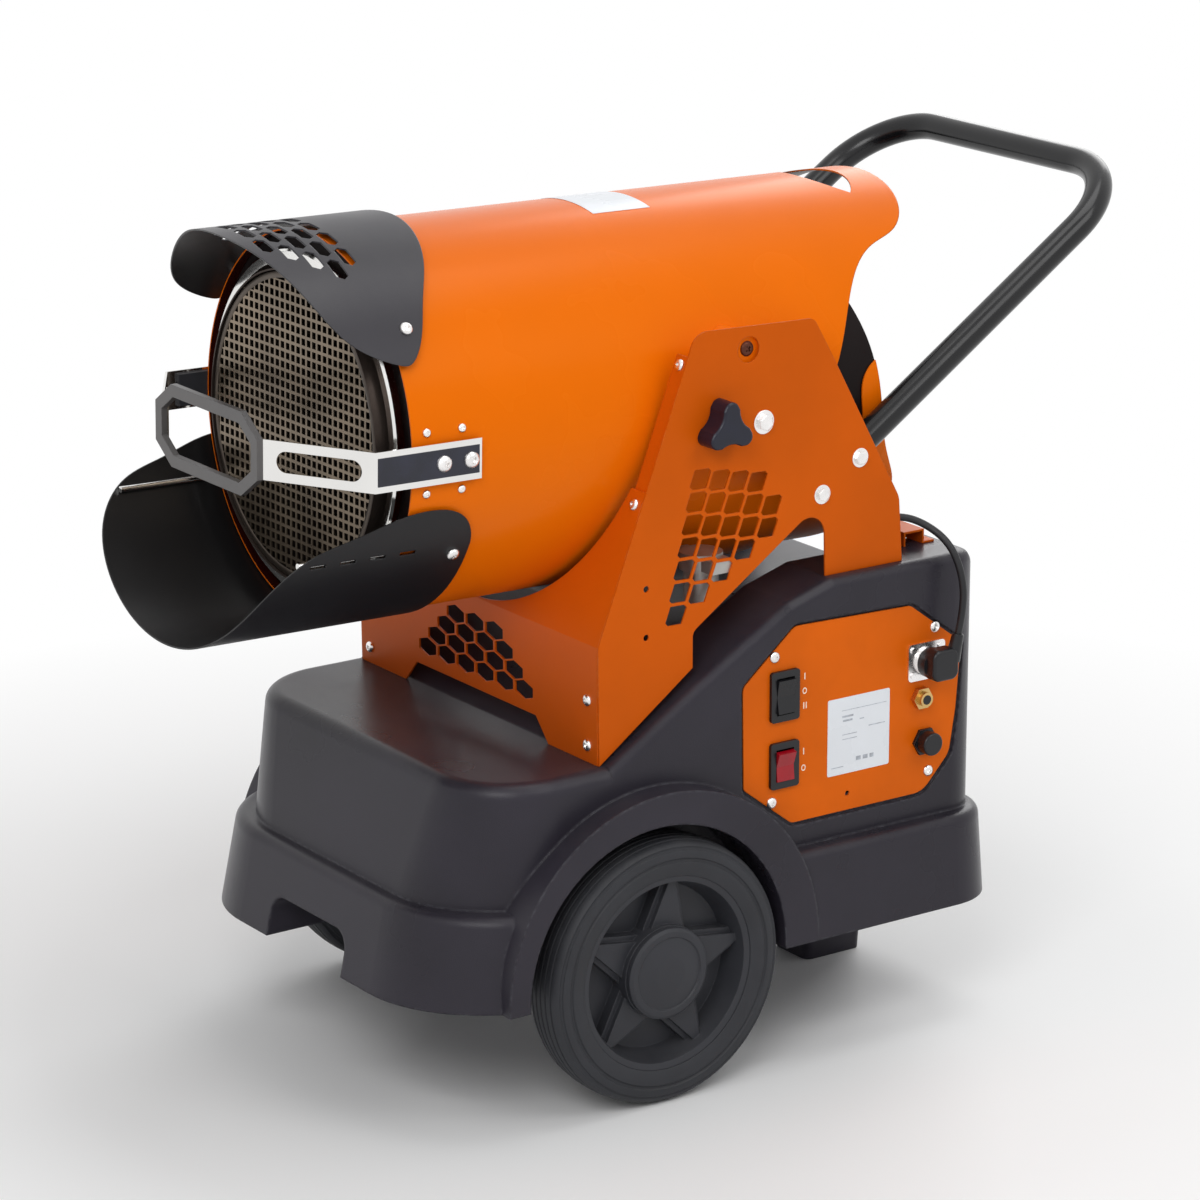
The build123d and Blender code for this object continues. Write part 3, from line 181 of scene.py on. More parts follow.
def buildDrift():
    # slow changes of colour over a large face
    group, source, sink = newTree("ShaderNodeTree", "colourDrift", [
        ("Colour", "Color", (1, 1, 1, 1)), ("Scale", "Float", 6.0), ("Amount", "Float", 0.1)],
        [("Colour", "Color"), ("Mask", "Float")])
    clouds = addNode(group, "ShaderNodeTexNoise", Vector=objectCoords(group),
                     Scale=source.outputs["Scale"], Detail=driftLook["detail"],
                     Roughness=driftLook["roughness"])
    mask = rangeNode(group, clouds.outputs["Fac"], *driftLook["clouds"])
    shift = mathNode(group, "MULTIPLY", mathNode(group, "SUBTRACT", mask, 0.5),
                     source.outputs["Amount"])
    toned = vectorNode(group, "SCALE", source.outputs["Colour"])
    setInput(group, toned.inputs["Scale"], mathNode(group, "ADD", shift, 1.0))
    setInput(group, sink.inputs["Colour"], toned.outputs[0])
    setInput(group, sink.inputs["Mask"], mask)
    return group


def buildEdgeWearAndHighlight():
    # edge wear and painted highlight: a lighter mask along sharp edges, broken up by noise, and the
    # rounded normal
    group, source, sink = newTree("ShaderNodeTree", "edgeWearAndHighlight", [
        ("Radius", "Float", 0.0012), ("Amount", "Float", 0.5)],
        [("Mask", "Float"), ("Normal", "Vector")])
    bevel = addNode(group, "ShaderNodeBevel", {"samples": 4}, Radius=source.outputs["Radius"])
    same = vectorNode(group, "DOT_PRODUCT", bevel.outputs[0], faceNormal(group, "True Normal"))
    edge = rangeNode(group, same.outputs["Value"], *wearAndHighlightLook["edge"])
    chips = addNode(group, "ShaderNodeTexNoise", Vector=objectCoords(group),
                    Scale=wearAndHighlightLook["chipScale"], Detail=3.0)
    broken = rangeNode(group, chips.outputs["Fac"], *wearAndHighlightLook["chips"])
    setInput(group, sink.inputs["Mask"], mathNode(
        group, "MULTIPLY", mathNode(group, "MULTIPLY", edge, broken), source.outputs["Amount"]))
    setInput(group, sink.inputs["Normal"], bevel.outputs[0])
    return group


def buildDust():
    # light dust on what faces up
    group, source, sink = newTree("ShaderNodeTree", "settledDust", [("Amount", "Float", 0.1)],
                                  [("Mask", "Float")])
    normal = addNode(group, "ShaderNodeSeparateXYZ", Vector=faceNormal(group, "Normal"))
    upward = rangeNode(group, normal.outputs["Z"], *dustLook["upward"])
    patches = addNode(group, "ShaderNodeTexNoise", Vector=objectCoords(group),
                      Scale=dustLook["scale"], Detail=5.0, Roughness=0.65)
    spread = rangeNode(group, patches.outputs["Fac"], *dustLook["patches"])
    setInput(group, sink.inputs["Mask"], mathNode(
        group, "MULTIPLY", mathNode(group, "MULTIPLY", upward, spread), source.outputs["Amount"]))
    return group


def buildInnerShade():
    # painted shade: darker where a face looks at the barrel's axis, on the insides of the barrel
    # and the deflectors
    group, source, sink = newTree("ShaderNodeTree", "innerShade", [("Softness", "Float", 0.25)],
                                  [("Mask", "Float")])
    centred = vectorNode(group, "SUBTRACT", objectCoords(group), place["pivot"])
    flat = vectorNode(group, "MULTIPLY", centred.outputs[0], (1, 0, 1))
    outward = vectorNode(group, "NORMALIZE", flat.outputs[0])
    facing = vectorNode(group, "DOT_PRODUCT", faceNormal(group, "True Normal"), outward.outputs[0])
    away = mathNode(group, "MULTIPLY", facing.outputs["Value"], -1.0)
    mask = mathNode(group, "DIVIDE", away, source.outputs["Softness"])
    setInput(group, sink.inputs["Mask"], rangeNode(group, mask, 0.0, 1.0))
    return group


effects = {"grain": buildGrain(), "drift": buildDrift(), "wearAndHighlight": buildEdgeWearAndHighlight(),
           "dust": buildDust(), "inner": buildInnerShade()}


def useEffect(tree, effect, **inputs):
    return addNode(tree, "ShaderNodeGroup", {"node_tree": effects[effect]}, **inputs)


def mixColour(tree, factor, first, second):
    node = addNode(tree, "ShaderNodeMix", {"data_type": "RGBA"})
    for index, value in ((0, factor), (6, first), (7, (*second, 1))):
        setInput(tree, node.inputs[index], value)
    return node.outputs[2]


# what each finish looks like; colours are linear, and gloss is the specular level
finishes = {
    # an inner colour is painted shade, laid on faces that look at the barrel's axis
    "barrelPaint": dict(
        colour=(0.84, 0.158, 0.0012), inner=(0.03, 0.003, 0.002), roughness=0.26, gloss=0.17,
        glossTint=(1.0, 0.6, 0.2), grain=700, depth=0.05, drift=0.08, driftScale=3.5, wearAndHighlight=0.12,
        wearAndHighlightColour=(0.95, 0.42, 0.16)),
    "casePaint": dict(
        colour=(0.62, 0.098, 0.002), roughness=0.4, gloss=0.22, glossTint=(1.0, 0.55, 0.18),
        grain=900, depth=0.1, drift=0.18, driftScale=5, wearAndHighlight=0.3, wearAndHighlightColour=(0.9, 0.4, 0.14)),
    "panelPaint": dict(
        colour=(0.72, 0.122, 0.003), roughness=0.36, gloss=0.25, glossTint=(1.0, 0.55, 0.18),
        grain=900, depth=0.1, drift=0.2, driftScale=9, wearAndHighlight=0.3, wearAndHighlightColour=(0.95, 0.45, 0.18)),
    # the tank's wide, light edge mask is mostly a painted highlight along its ledges and edges
    "tankPlastic": dict(
        colour=(0.0245, 0.0215, 0.0305), roughness=0.3, gloss=0.26, grain=1100, pebble=0.7,
        depth=0.2, drift=0.35, driftScale=7, wearAndHighlight=0.6, wearAndHighlightColour=(0.11, 0.11, 0.13), edge=0.004,
        dust=0.03),
    "wheelPlastic": dict(
        colour=(0.03, 0.031, 0.037), roughness=0.45, gloss=0.3, grain=1200, pebble=0.6, depth=0.15,
        drift=0.25, driftScale=14, wearAndHighlight=0.4, wearAndHighlightColour=(0.1, 0.1, 0.115), edge=0.0015, dust=0.05),
    "tyreRubber": dict(
        colour=(0.028, 0.029, 0.034), roughness=0.55, gloss=0.3, grain=1500, depth=0.2, drift=0.35,
        driftScale=18, wearAndHighlight=0.3, wearAndHighlightColour=(0.075, 0.075, 0.085), dust=0.07),
    "deflectorPaint": dict(
        colour=(0.022, 0.02, 0.026), inner=(0.006, 0.0058, 0.0065), roughness=0.38, gloss=0.28,
        coat=0.1, coatRoughness=0.3, grain=1000, depth=0.12, drift=0.2, driftScale=6, wearAndHighlight=0.3,
        wearAndHighlightColour=(0.16, 0.16, 0.17), dust=0.02),
    # painted shade: a darker copy of the deflector paint, for the trough under the barrel
    "shadedTroughPaint": dict(
        colour=(0.009, 0.0085, 0.01), inner=(0.008, 0.0075, 0.008), roughness=0.38, gloss=0.3,
        coat=0.05, coatRoughness=0.3, grain=1000, depth=0.12, drift=0.3, driftScale=6, wearAndHighlight=0.3,
        wearAndHighlightColour=(0.1, 0.1, 0.11)),
    "inlayBlack": dict(
        colour=(0.011, 0.012, 0.026), roughness=0.2, gloss=0.5, grain=1200, depth=0.03, drift=0.8,
        driftScale=30, scratch=0.1),
    "baffleBlack": dict(
        colour=(0.008, 0.0045, 0.0045), roughness=0.55, gloss=0.12, grain=900, depth=0.15,
        drift=0.4, driftScale=12, wearAndHighlight=0.2, wearAndHighlightColour=(0.08, 0.07, 0.06)),
    "handleGloss": dict(
        colour=(0.005, 0.005, 0.006), roughness=0.22, gloss=0.35, coat=0.1, coatRoughness=0.08,
        grain=900, depth=0.006, drift=0.3, driftScale=9, dust=0.02),
    "polishedSteel": dict(
        colour=(0.8, 0.79, 0.77), metal=1.0, roughness=0.12, grain=90, stretch=(1, 14, 14),
        depth=0.03, drift=0.12, driftScale=8, scratch=0.1),
    "emitterSteel": dict(
        colour=(0.21, 0.165, 0.12), metal=0.9, roughness=0.3, grain=700, depth=0.1, drift=0.8,
        driftScale=9, scratch=0.15),
    "rimSteel": dict(
        colour=(0.085, 0.068, 0.055), metal=0.85, roughness=0.34, grain=700, depth=0.1, drift=0.8,
        driftScale=12, scratch=0.15),
    "chamberSteel": dict(
        colour=(0.06, 0.045, 0.038), metal=0.8, roughness=0.5, grain=400, depth=0.1, drift=0.6,
        driftScale=8, scratch=0.15),
    "zincPlate": dict(
        colour=(0.86, 0.84, 0.83), metal=1.0, roughness=0.26, grain=500, depth=0.06, drift=0.2,
        driftScale=60, scratch=0.2),
    "brownedSteel": dict(
        colour=(0.11, 0.035, 0.02), metal=0.8, roughness=0.4, grain=500, depth=0.06, drift=0.4,
        driftScale=60, scratch=0.2),
    "switchBlack": dict(
        colour=(0.008, 0.008, 0.01), roughness=0.3, gloss=0.4, grain=1600, depth=0.05, drift=0.3,
        driftScale=40, wearAndHighlight=0.25, wearAndHighlightColour=(0.06, 0.06, 0.07), edge=0.0006),
    "knobBlack": dict(
        colour=(0.007, 0.008, 0.02), roughness=0.32, gloss=0.4, grain=1500, depth=0.06, drift=0.3,
        driftScale=50, wearAndHighlight=0.3, wearAndHighlightColour=(0.05, 0.05, 0.08), edge=0.001),
    "switchRed": dict(
        colour=(0.36, 0.003, 0.011), roughness=0.16, gloss=0.35, coat=0.1, coatRoughness=0.05,
        grain=900, depth=0.02, drift=0.25, driftScale=60),
    "brassTurned": dict(
        colour=(0.62, 0.42, 0.17), metal=1.0, roughness=0.28, grain=500, depth=0.08, drift=0.3,
        driftScale=60, scratch=0.2),
    "castAlloy": dict(
        colour=(0.42, 0.41, 0.39), metal=0.9, roughness=0.48, grain=700, pebble=0.6, depth=0.3,
        drift=0.3, driftScale=30, scratch=0.15),
    "labelFilm": dict(
        colour=(0.79, 0.82, 0.86), roughness=0.28, gloss=0.4, grain=1200, depth=0.02, drift=0.06,
        driftScale=18),
    "markPaint": dict(
        colour=(0.93, 0.78, 0.62), roughness=0.4, grain=1500, depth=0.03, drift=0.15,
        driftScale=90),
    "faintPrint": dict(
        colour=(0.46, 0.49, 0.54), roughness=0.4, grain=1500, depth=0.02, drift=0.6,
        driftScale=150),
    "leadRubber": dict(
        colour=(0.01, 0.01, 0.012), roughness=0.42, gloss=0.4, grain=1300, depth=0.1, drift=0.25,
        driftScale=30),
    "fanPlastic": dict(
        colour=(0.05, 0.053, 0.06), roughness=0.45, grain=1100, depth=0.1, drift=0.3, driftScale=15,
        wearAndHighlight=0.3, wearAndHighlightColour=(0.16, 0.16, 0.17)),
    "motorPaint": dict(
        colour=(0.09, 0.095, 0.105), roughness=0.42, grain=900, depth=0.15, drift=0.3,
        driftScale=15, wearAndHighlight=0.3, wearAndHighlightColour=(0.35, 0.34, 0.33)),
    "loopSteel": dict(
        colour=(0.1, 0.094, 0.093), roughness=0.34, gloss=0.4, coat=0.1, coatRoughness=0.2,
        grain=900, depth=0.08, drift=0.25, driftScale=15, wearAndHighlight=0.45, wearAndHighlightColour=(0.24, 0.24, 0.25),
        edge=0.001),
}

# what a finish has where its own entry says nothing
plainLook = {"metal": 0.0, "gloss": 0.5, "glossTint": (1, 1, 1), "coat": 0.0,
             "coatRoughness": 0.03, "stretch": (1, 1, 1), "pebble": 0.3, "edge": 0.0012,
             "roughSpread": 0.1, "bumpDistance": 0.0006}


def buildMaterial(name, given):
    look = {**plainLook, **given}
    material = bpy.data.materials.new(name)
    material.use_nodes = True
    tree = material.node_tree
    shader = tree.nodes["Principled BSDF"]
    for label, key in (("Metallic", "metal"), ("Specular IOR Level", "gloss"),
                       ("Coat Weight", "coat"), ("Coat Roughness", "coatRoughness")):
        shader.inputs[label].default_value = look[key]
    shader.inputs["Specular Tint"].default_value = (*look["glossTint"], 1)
    grain = useEffect(tree, "grain", Scale=float(look["grain"]), Stretch=look["stretch"],
                      Pebble=look["pebble"])
    drift = useEffect(tree, "drift", Colour=(*look["colour"], 1), Scale=float(look["driftScale"]),
                      Amount=look["drift"])
    colour = drift.outputs["Colour"]
    # painted shade: the inner colour is mixed in where a face looks at the barrel's axis
    if "inner" in look:
        colour = mixColour(tree, useEffect(tree, "inner").outputs["Mask"], colour, look["inner"])
    spread = mathNode(tree, "MULTIPLY", drift.outputs["Mask"], look["roughSpread"])
    rough = mathNode(tree, "ADD", spread, look["roughness"] - look["roughSpread"] / 2)
    if "scratch" in look:
        rough = mathNode(tree, "ADD",
                         mathNode(tree, "MULTIPLY", grain.outputs["Tone"], look["scratch"]),
                         mathNode(tree, "SUBTRACT", rough, look["scratch"] / 2))
    bump = addNode(tree, "ShaderNodeBump", Height=grain.outputs["Height"], Strength=look["depth"],
                   Distance=look["bumpDistance"])
    # edge wear and painted highlight: sharp edges lightened toward the edge colour
    if "wearAndHighlight" in look:
        wearAndHighlight = useEffect(tree, "wearAndHighlight", Radius=look["edge"], Amount=look["wearAndHighlight"])
        colour = mixColour(tree, wearAndHighlight.outputs["Mask"], colour, look["wearAndHighlightColour"])
        setInput(tree, bump.inputs["Normal"], wearAndHighlight.outputs["Normal"])
    if "dust" in look:
        dust = useEffect(tree, "dust", Amount=look["dust"]).outputs["Mask"]
        colour = mixColour(tree, dust, colour, dustLook["colour"])
        rough = mathNode(tree, "ADD", rough,
                         mathNode(tree, "MULTIPLY", dust, dustLook["roughness"]))
    setInput(tree, shader.inputs["Base Color"], colour)
    setInput(tree, shader.inputs["Roughness"], rough)
    setInput(tree, shader.inputs["Normal"], bump.outputs["Normal"])
    return material


materials = {name: buildMaterial(name, look) for name, look in finishes.items()}
print("finishes made:", len(materials))

# which finish each solid wears
worn = {
    "barrelPaint": ["barrel_shell", "rear_cover", "trunnion_right", "trunnion_left"],
    "casePaint": ["side_plate_right", "side_plate_left", "front_panel", "rear_bar"],
    "panelPaint": ["control_panel"],
    "tankPlastic": ["fuel_tank", "rear_foot"],
    "wheelPlastic": ["rim_right", "rim_left", "hub_cap_right", "hub_cap_left"],
    "tyreRubber": ["tyre_right", "tyre_left", "guard_pads"],
    "deflectorPaint": ["upper_deflector"],
    "shadedTroughPaint": ["lower_deflector"],
    "baffleBlack": [
        "front_baffle", "fan_housing", "rear_baffle", "bulkhead", "burner_head", "intake_guard"],
    "handleGloss": ["handle_tube"],
    "polishedSteel": ["polished_ring", "guard_bar_right", "guard_bar_left", "deflector_rods"],
    "chamberSteel": ["combustion_chamber"],
    "emitterSteel": ["emitter_mesh"],
    "zincPlate": [
        "axle", "axle_clamps", "case_bolts", "case_screws", "barrel_screws", "motor_bracket",
        "thermostat_socket"],
    "switchBlack": [
        "fuel_cap", "selector_switch", "power_switch", "selector_rocker", "thermostat_plug",
        "fuse_holder", "junction_box"],
    "knobBlack": ["lock_knob_right", "lock_knob_left"],
    "switchRed": ["power_rocker"],
    "brassTurned": ["brass_port"],
    "castAlloy": ["fuel_filter", "fuel_pump"],
    "labelFilm": ["top_label", "label_plate"],
    "leadRubber": ["thermostat_lead"],
    "fanPlastic": ["fan_wheel"],
    "motorPaint": ["fan_motor", "ignition_transformer"],
    "loopSteel": ["guard_loop"],
}
for finish, names in worn.items():
    for name in names:
        nodes[name].data.materials.clear()
        nodes[name].data.materials.append(materials[finish])
unworn = sorted(set(nodes) - {name for names in worn.values() for name in names})
print("solids dressed, left over:", unworn)


# helpers for the pieces made here

def newPiece(name, mesh, finish, body, replaced=()):
    piece = looseObject(name, mesh)
    mesh.materials.clear()
    mesh.materials.append(materials[finish])
    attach(piece, body)
    if replaced:
        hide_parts(*replaced)


def geometryTree(name, inputs):
    # every tree takes a finish besides its own inputs
    return newTree("GeometryNodeTree", name, [
        ("Geometry", "Geometry"), *inputs, ("Finish", "Material")], [("Geometry", "Geometry")])


def finishTree(tree, source, sink, geometry):
    # every tree ends alike: real geometry, then its finish
    real = addNode(tree, "GeometryNodeRealizeInstances", Geometry=geometry)
    dressed = addNode(tree, "GeometryNodeSetMaterial", Geometry=real.outputs[0],
                      Material=source.outputs["Finish"])
    setInput(tree, sink.inputs[0], dressed.outputs[0])


def builtMesh(thing):
    # what an object's modifiers make of its mesh
    evaluated = thing.evaluated_get(bpy.context.evaluated_depsgraph_get())
    return bpy.data.meshes.new_from_object(evaluated)


def runTree(name, tree, baseMesh, values):
    # runs the tree on a mesh and gives the result back as a plain mesh
    carrier = looseObject(name + "Carrier", baseMesh)
    modifier = carrier.modifiers.new("build", "NODES")
    modifier.node_group = tree
    for item in tree.interface.items_tree:
        if item.item_type == "SOCKET" and item.in_out == "INPUT" and item.name in values:
            modifier[item.identifier] = values[item.name]
    mesh = builtMesh(carrier)
    mesh.name = name
    bpy.data.objects.remove(carrier)
    return mesh


def meshFrom(name, bm):
    mesh = bpy.data.meshes.new(name)
    bm.to_mesh(mesh)
    bm.free()
    return mesh


def pointMesh(name, spots):
    mesh = bpy.data.meshes.new(name)
    mesh.from_pydata(spots, [], [])
    return mesh


def rounded(mesh, angle=35):
    # smooth shading, with edges over this angle kept sharp
    for polygon in mesh.polygons:
        polygon.use_smooth = True
    mesh.set_sharp_from_angle(angle=math.radians(angle))
    return mesh


def addBox(bm, size, centre):
    for vert in bmesh.ops.create_cube(bm, size=1)["verts"]:
        vert.co = vert.co * Vector(size) + centre


def bridgeRings(bm, rings):
    # joins each closed ring of points to the next, and the last to the first
    count = len(rings[0])
    for first, second in zip(rings, rings[1:] + rings[:1]):
        for i in range(count):
            j = (i + 1) % count
            bm.faces.new((first[i], first[j], second[j], second[i]))


def stackRows(bm, profile, steps):
    # closed stack of level rings about Z, from a profile of (height, radius)
    turns = [2 * math.pi * i / steps for i in range(steps)]
    rows = [[bm.verts.new((radius * math.cos(turn), radius * math.sin(turn), height))
             for turn in turns] for height, radius in profile]
    for low, high in zip(rows, rows[1:]):
        for i in range(steps):
            j = (i + 1) % steps
            bm.faces.new((low[i], low[j], high[j], high[i]))
    bm.faces.new(rows[-1])
    bm.faces.new(rows[0][::-1])


def lathe(name, profile, steps, turnAxis, radialStart, centre):
    # turns a closed profile of (along, radius) about an axis
    other = turnAxis.cross(radialStart)
    bm = bmesh.new()
    rings = []
    for step in range(steps):
        turn = 2 * math.pi * step / steps
        out = radialStart * math.cos(turn) + other * math.sin(turn)
        rings.append([bm.verts.new(centre + turnAxis * along + out * radius)
                      for along, radius in profile])
    bridgeRings(bm, rings)
    bmesh.ops.recalc_face_normals(bm, faces=bm.faces)
    return rounded(meshFrom(name, bm))


# thermostat lead: its route is the one that the solids have
lead = {"diameter": 0.007, "length": 0.168, "roundness": 6, "smoothness": 16, "route": [
    (0.187, 0.1664, 0.495), (0.187, 0.1924, 0.495), (0.2, 0.2134, 0.487),
    (0.221, 0.2264, 0.471), (0.233, 0.2324, 0.444), (0.236, 0.2334, 0.412),
    (0.234, 0.2284, 0.386)]}


def makeLead():
    curve = bpy.data.curves.new("thermostatLead", "CURVE")
    curve.dimensions = "3D"
    curve.bevel_depth = lead["diameter"] / 2
    curve.bevel_resolution = lead["roundness"]
    curve.resolution_u = lead["smoothness"]
    spline = curve.splines.new("NURBS")
    spline.points.add(len(lead["route"]) - 1)
    for point, spot in zip(spline.points, lead["route"]):
        point.co = (*spot, 1)
    spline.order_u = 3
    spline.use_endpoint_u = True
    curve.materials.append(materials["leadRubber"])
    piece = looseObject("thermostatLead", curve)
    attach(piece, "base")
    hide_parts("thermostat_lead")


makeLead()
print("lead made")

# emitter: a steel sheet with square holes, held by a rim
emitter = {"radius": 0.1375, "pitch": 0.0089, "hole": 0.0061, "thickness": 0.0012,
           "behind": -0.3677, "margin": 0.35, "weld": 0.00002}
emitterRim = {"radius": 0.1385, "depth": 0.0125, "wall": 0.0015, "width": 0.006,
              "corner": 0.001, "proud": 0.0006, "under": 0.0004, "steps": 120}


def buildPerforation():
    tree, source, sink = geometryTree("squarePerforation", [
        ("Radius", "Float", 0.13), ("Pitch", "Float", 0.009), ("Hole", "Float", 0.0055),
        ("Thickness", "Float", 0.001)])
    radius, pitch = source.outputs["Radius"], source.outputs["Pitch"]
    span = mathNode(tree, "MULTIPLY", radius, 2.0)
    count = mathNode(tree, "ROUND", mathNode(tree, "DIVIDE", span, pitch))
    size = mathNode(tree, "MULTIPLY", mathNode(tree, "SUBTRACT", count, 1.0), pitch)
    grid = addNode(tree, "GeometryNodeMeshGrid", Size_X=size, Size_Y=size, Vertices_X=count,
                   Vertices_Y=count)
    # keep the cells inside the rim
    distance = vectorNode(tree, "LENGTH", addNode(tree, "GeometryNodeInputPosition").outputs[0])
    reach = mathNode(tree, "SUBTRACT", radius,
                     mathNode(tree, "MULTIPLY", pitch, emitter["margin"]))
    inside = mathNode(tree, "LESS_THAN", distance.outputs["Value"], reach)
    points = addNode(tree, "GeometryNodeMeshToPoints", Mesh=grid.outputs["Mesh"],
                     Selection=inside)
    # one cell is a square web round a square hole
    web = addNode(tree, "GeometryNodeJoinGeometry")
    for side in (pitch, source.outputs["Hole"]):
        square = addNode(tree, "GeometryNodeCurvePrimitiveQuadrilateral", Width=side, Height=side)
        setInput(tree, web.inputs[0], square.outputs[0])
    filled = addNode(tree, "GeometryNodeFillCurve", {"mode": "NGONS"}, Curve=web.outputs[0])
    cells = addNode(tree, "GeometryNodeInstanceOnPoints", Points=points.outputs[0],
                    Instance=filled.outputs[0])
    real = addNode(tree, "GeometryNodeRealizeInstances", Geometry=cells.outputs[0])
    flat = addNode(tree, "GeometryNodeMergeByDistance", Geometry=real.outputs[0],
                   Distance=emitter["weld"])
    raised = addNode(tree, "GeometryNodeExtrudeMesh", Mesh=flat.outputs[0], Individual=False,
                     Offset_Scale=source.outputs["Thickness"])
    under = addNode(tree, "GeometryNodeFlipFaces", Mesh=flat.outputs[0])
    sheet = addNode(tree, "GeometryNodeJoinGeometry")
    for half in (raised, under):
        setInput(tree, sheet.inputs[0], half.outputs["Mesh"])
    closed = addNode(tree, "GeometryNodeMergeByDistance", Geometry=sheet.outputs[0],
                     Distance=emitter["weld"])
    finishTree(tree, source, sink, closed.outputs[0])
    return tree


def rimProfile():
    outer, back = emitterRim["radius"], -emitterRim["depth"]
    face, under = emitter["thickness"], -emitterRim["under"]
    top, corner = face + emitterRim["proud"], emitterRim["corner"]
    inner, wall = outer - emitterRim["width"], outer - emitterRim["wall"]
    return [(back, outer), (face, outer), (top, outer - corner), (top, inner + corner),
            (face, inner), (under, inner), (under, wall), (back, wall)]


emitterPlace = Matrix.Translation(onBarrel(0, emitter["behind"], 0)) @ Matrix(
    (sideAxis, barrelUp, -barrelBack)).transposed().to_4x4()
sheetMesh = runTree("emitterSheet", buildPerforation(), bpy.data.meshes.new("seed"), {
    "Radius": emitter["radius"], "Pitch": emitter["pitch"], "Hole": emitter["hole"],
    "Thickness": emitter["thickness"], "Finish": materials["emitterSteel"]})
rimMesh = lathe("emitterRim", rimProfile(), emitterRim["steps"], upAxis, sideAxis, Vector())
for name, mesh, finish in (("emitterSheet", sheetMesh, "emitterSteel"),
                           ("emitterRim", rimMesh, "rimSteel")):
    mesh.transform(emitterPlace)
    newPiece(name, mesh, finish, "barrel", ["emitter_mesh"])
print("emitter:", len(sheetMesh.polygons), "faces in the perforated sheet")


# screws and bolts on points

# unit heads, with profiles of (height, radius)
screw = {"steps": 28, "profile": ((0, 1), (0.35, 0.985), (0.7, 0.85), (0.92, 0.6), (1, 0.25)),
         "recess": 0.42, "slotWidth": 0.14, "recessDepth": 0.5, "sharp": 40}
bolt = {"steps": 36, "washer": ((0, 1), (0.2, 1), (0.24, 0.95), (0.24, 0.3)),
        "hexagon": ((0.22, 0.72), (0.9, 0.72), (1, 0.6192)), "sharp": 30}
twist = {"amount": 0.5, "seed": 7}


def screwHead():
    # pan head with a cross recess
    bm = bmesh.new()
    stackRows(bm, screw["profile"], screw["steps"])
    piece = looseObject("panHead", meshFrom("panHead", bm))
    bm = bmesh.new()
    bar = (2 * screw["recess"], 2 * screw["slotWidth"])
    for wide, deep in (bar, bar[::-1]):
        addBox(bm, (wide, deep, 2 * screw["recessDepth"]), upAxis)
    cross = looseObject("cross", meshFrom("cross", bm))
    cut = piece.modifiers.new("recess", "BOOLEAN")
    cut.operation = "DIFFERENCE"
    cut.solver = "EXACT"
    cut.use_self = True
    cut.object = cross
    done = builtMesh(piece)
    piece.modifiers.clear()
    piece.data = rounded(done, screw["sharp"])
    bpy.data.objects.remove(cross)
    return piece


def boltHead():
    # hexagon head on its washer
    bm = bmesh.new()
    stackRows(bm, bolt["washer"], bolt["steps"])
    stackRows(bm, bolt["hexagon"], 6)
    return looseObject("hexHead", rounded(meshFrom("hexHead", bm), bolt["sharp"]))


def buildHeads():
    # puts a head on each point, turned to its aim and scaled to its size
    tree, source, sink = geometryTree("headsOnPoints", [
        ("Head", "Object"), ("Twist", "Float", 0.4), ("Seed", "Int", 7)])
    head = addNode(tree, "GeometryNodeObjectInfo", Object=source.outputs["Head"])
    points = addNode(tree, "GeometryNodeMeshToPoints", Mesh=source.outputs["Geometry"])
    aim, size = (addNode(tree, "GeometryNodeInputNamedAttribute", {"data_type": "FLOAT_VECTOR"},
                         Name=label).outputs["Attribute"] for label in ("aim", "size"))
    turn = addNode(tree, "FunctionNodeAlignRotationToVector", {"axis": "Z"}, Vector=aim)
    spin = addNode(tree, "FunctionNodeRandomValue", {"data_type": "FLOAT"},
                   Seed=source.outputs["Seed"])
    setInput(tree, spin.inputs[3], mathNode(tree, "MULTIPLY", source.outputs["Twist"], math.pi))
    angles = addNode(tree, "ShaderNodeCombineXYZ", Z=spin.outputs[1])
    local = addNode(tree, "FunctionNodeRotateRotation", {"rotation_space": "LOCAL"},
                    Rotation=turn.outputs[0], Rotate_By=angles.outputs[0])
    heads = addNode(tree, "GeometryNodeInstanceOnPoints", Points=points.outputs[0],
                    Instance=head.outputs["Geometry"], Rotation=local.outputs[0], Scale=size)
    finishTree(tree, source, sink, heads.outputs[0])
    return tree


headsTree = buildHeads()
headShapes = {"screw": screwHead(), "bolt": boltHead()}


def headPiece(name, shape, places, finish, body, node, besides=()):
    # places are (point, aim, radius, height), with the point where the head sits
    seed = pointMesh(name + "Points", [spot for spot, aim, radius, height in places])
    for label in ("aim", "size"):
        seed.attributes.new(label, "FLOAT_VECTOR", "POINT")
    for index, (spot, aim, radius, height) in enumerate(places):
        seed.attributes["aim"].data[index].vector = aim
        seed.attributes["size"].data[index].vector = (radius, radius, height)
    mesh = runTree(name, headsTree, seed, {
        "Head": headShapes[shape], "Twist": twist["amount"], "Seed": twist["seed"],
        "Finish": materials[finish]})
    if besides:
        bm = bmesh.new()
        for part in (mesh, *besides):
            bm.from_mesh(part)
        mesh = meshFrom(name + "Joined", bm)
    newPiece(name, mesh, finish, body, [node])


# the front panel stands upright up to leanFrom, and leans back above
front = {"behind": -0.047, "leanFrom": 0.43, "lean": math.radians(21.2), "sheet": 0.002}
leanAxis = Vector((0, -math.cos(front["lean"]), math.sin(front["lean"])))


def frontAt(height):
    return front["behind"] + max(0, height - front["leanFrom"]) * math.tan(front["lean"])


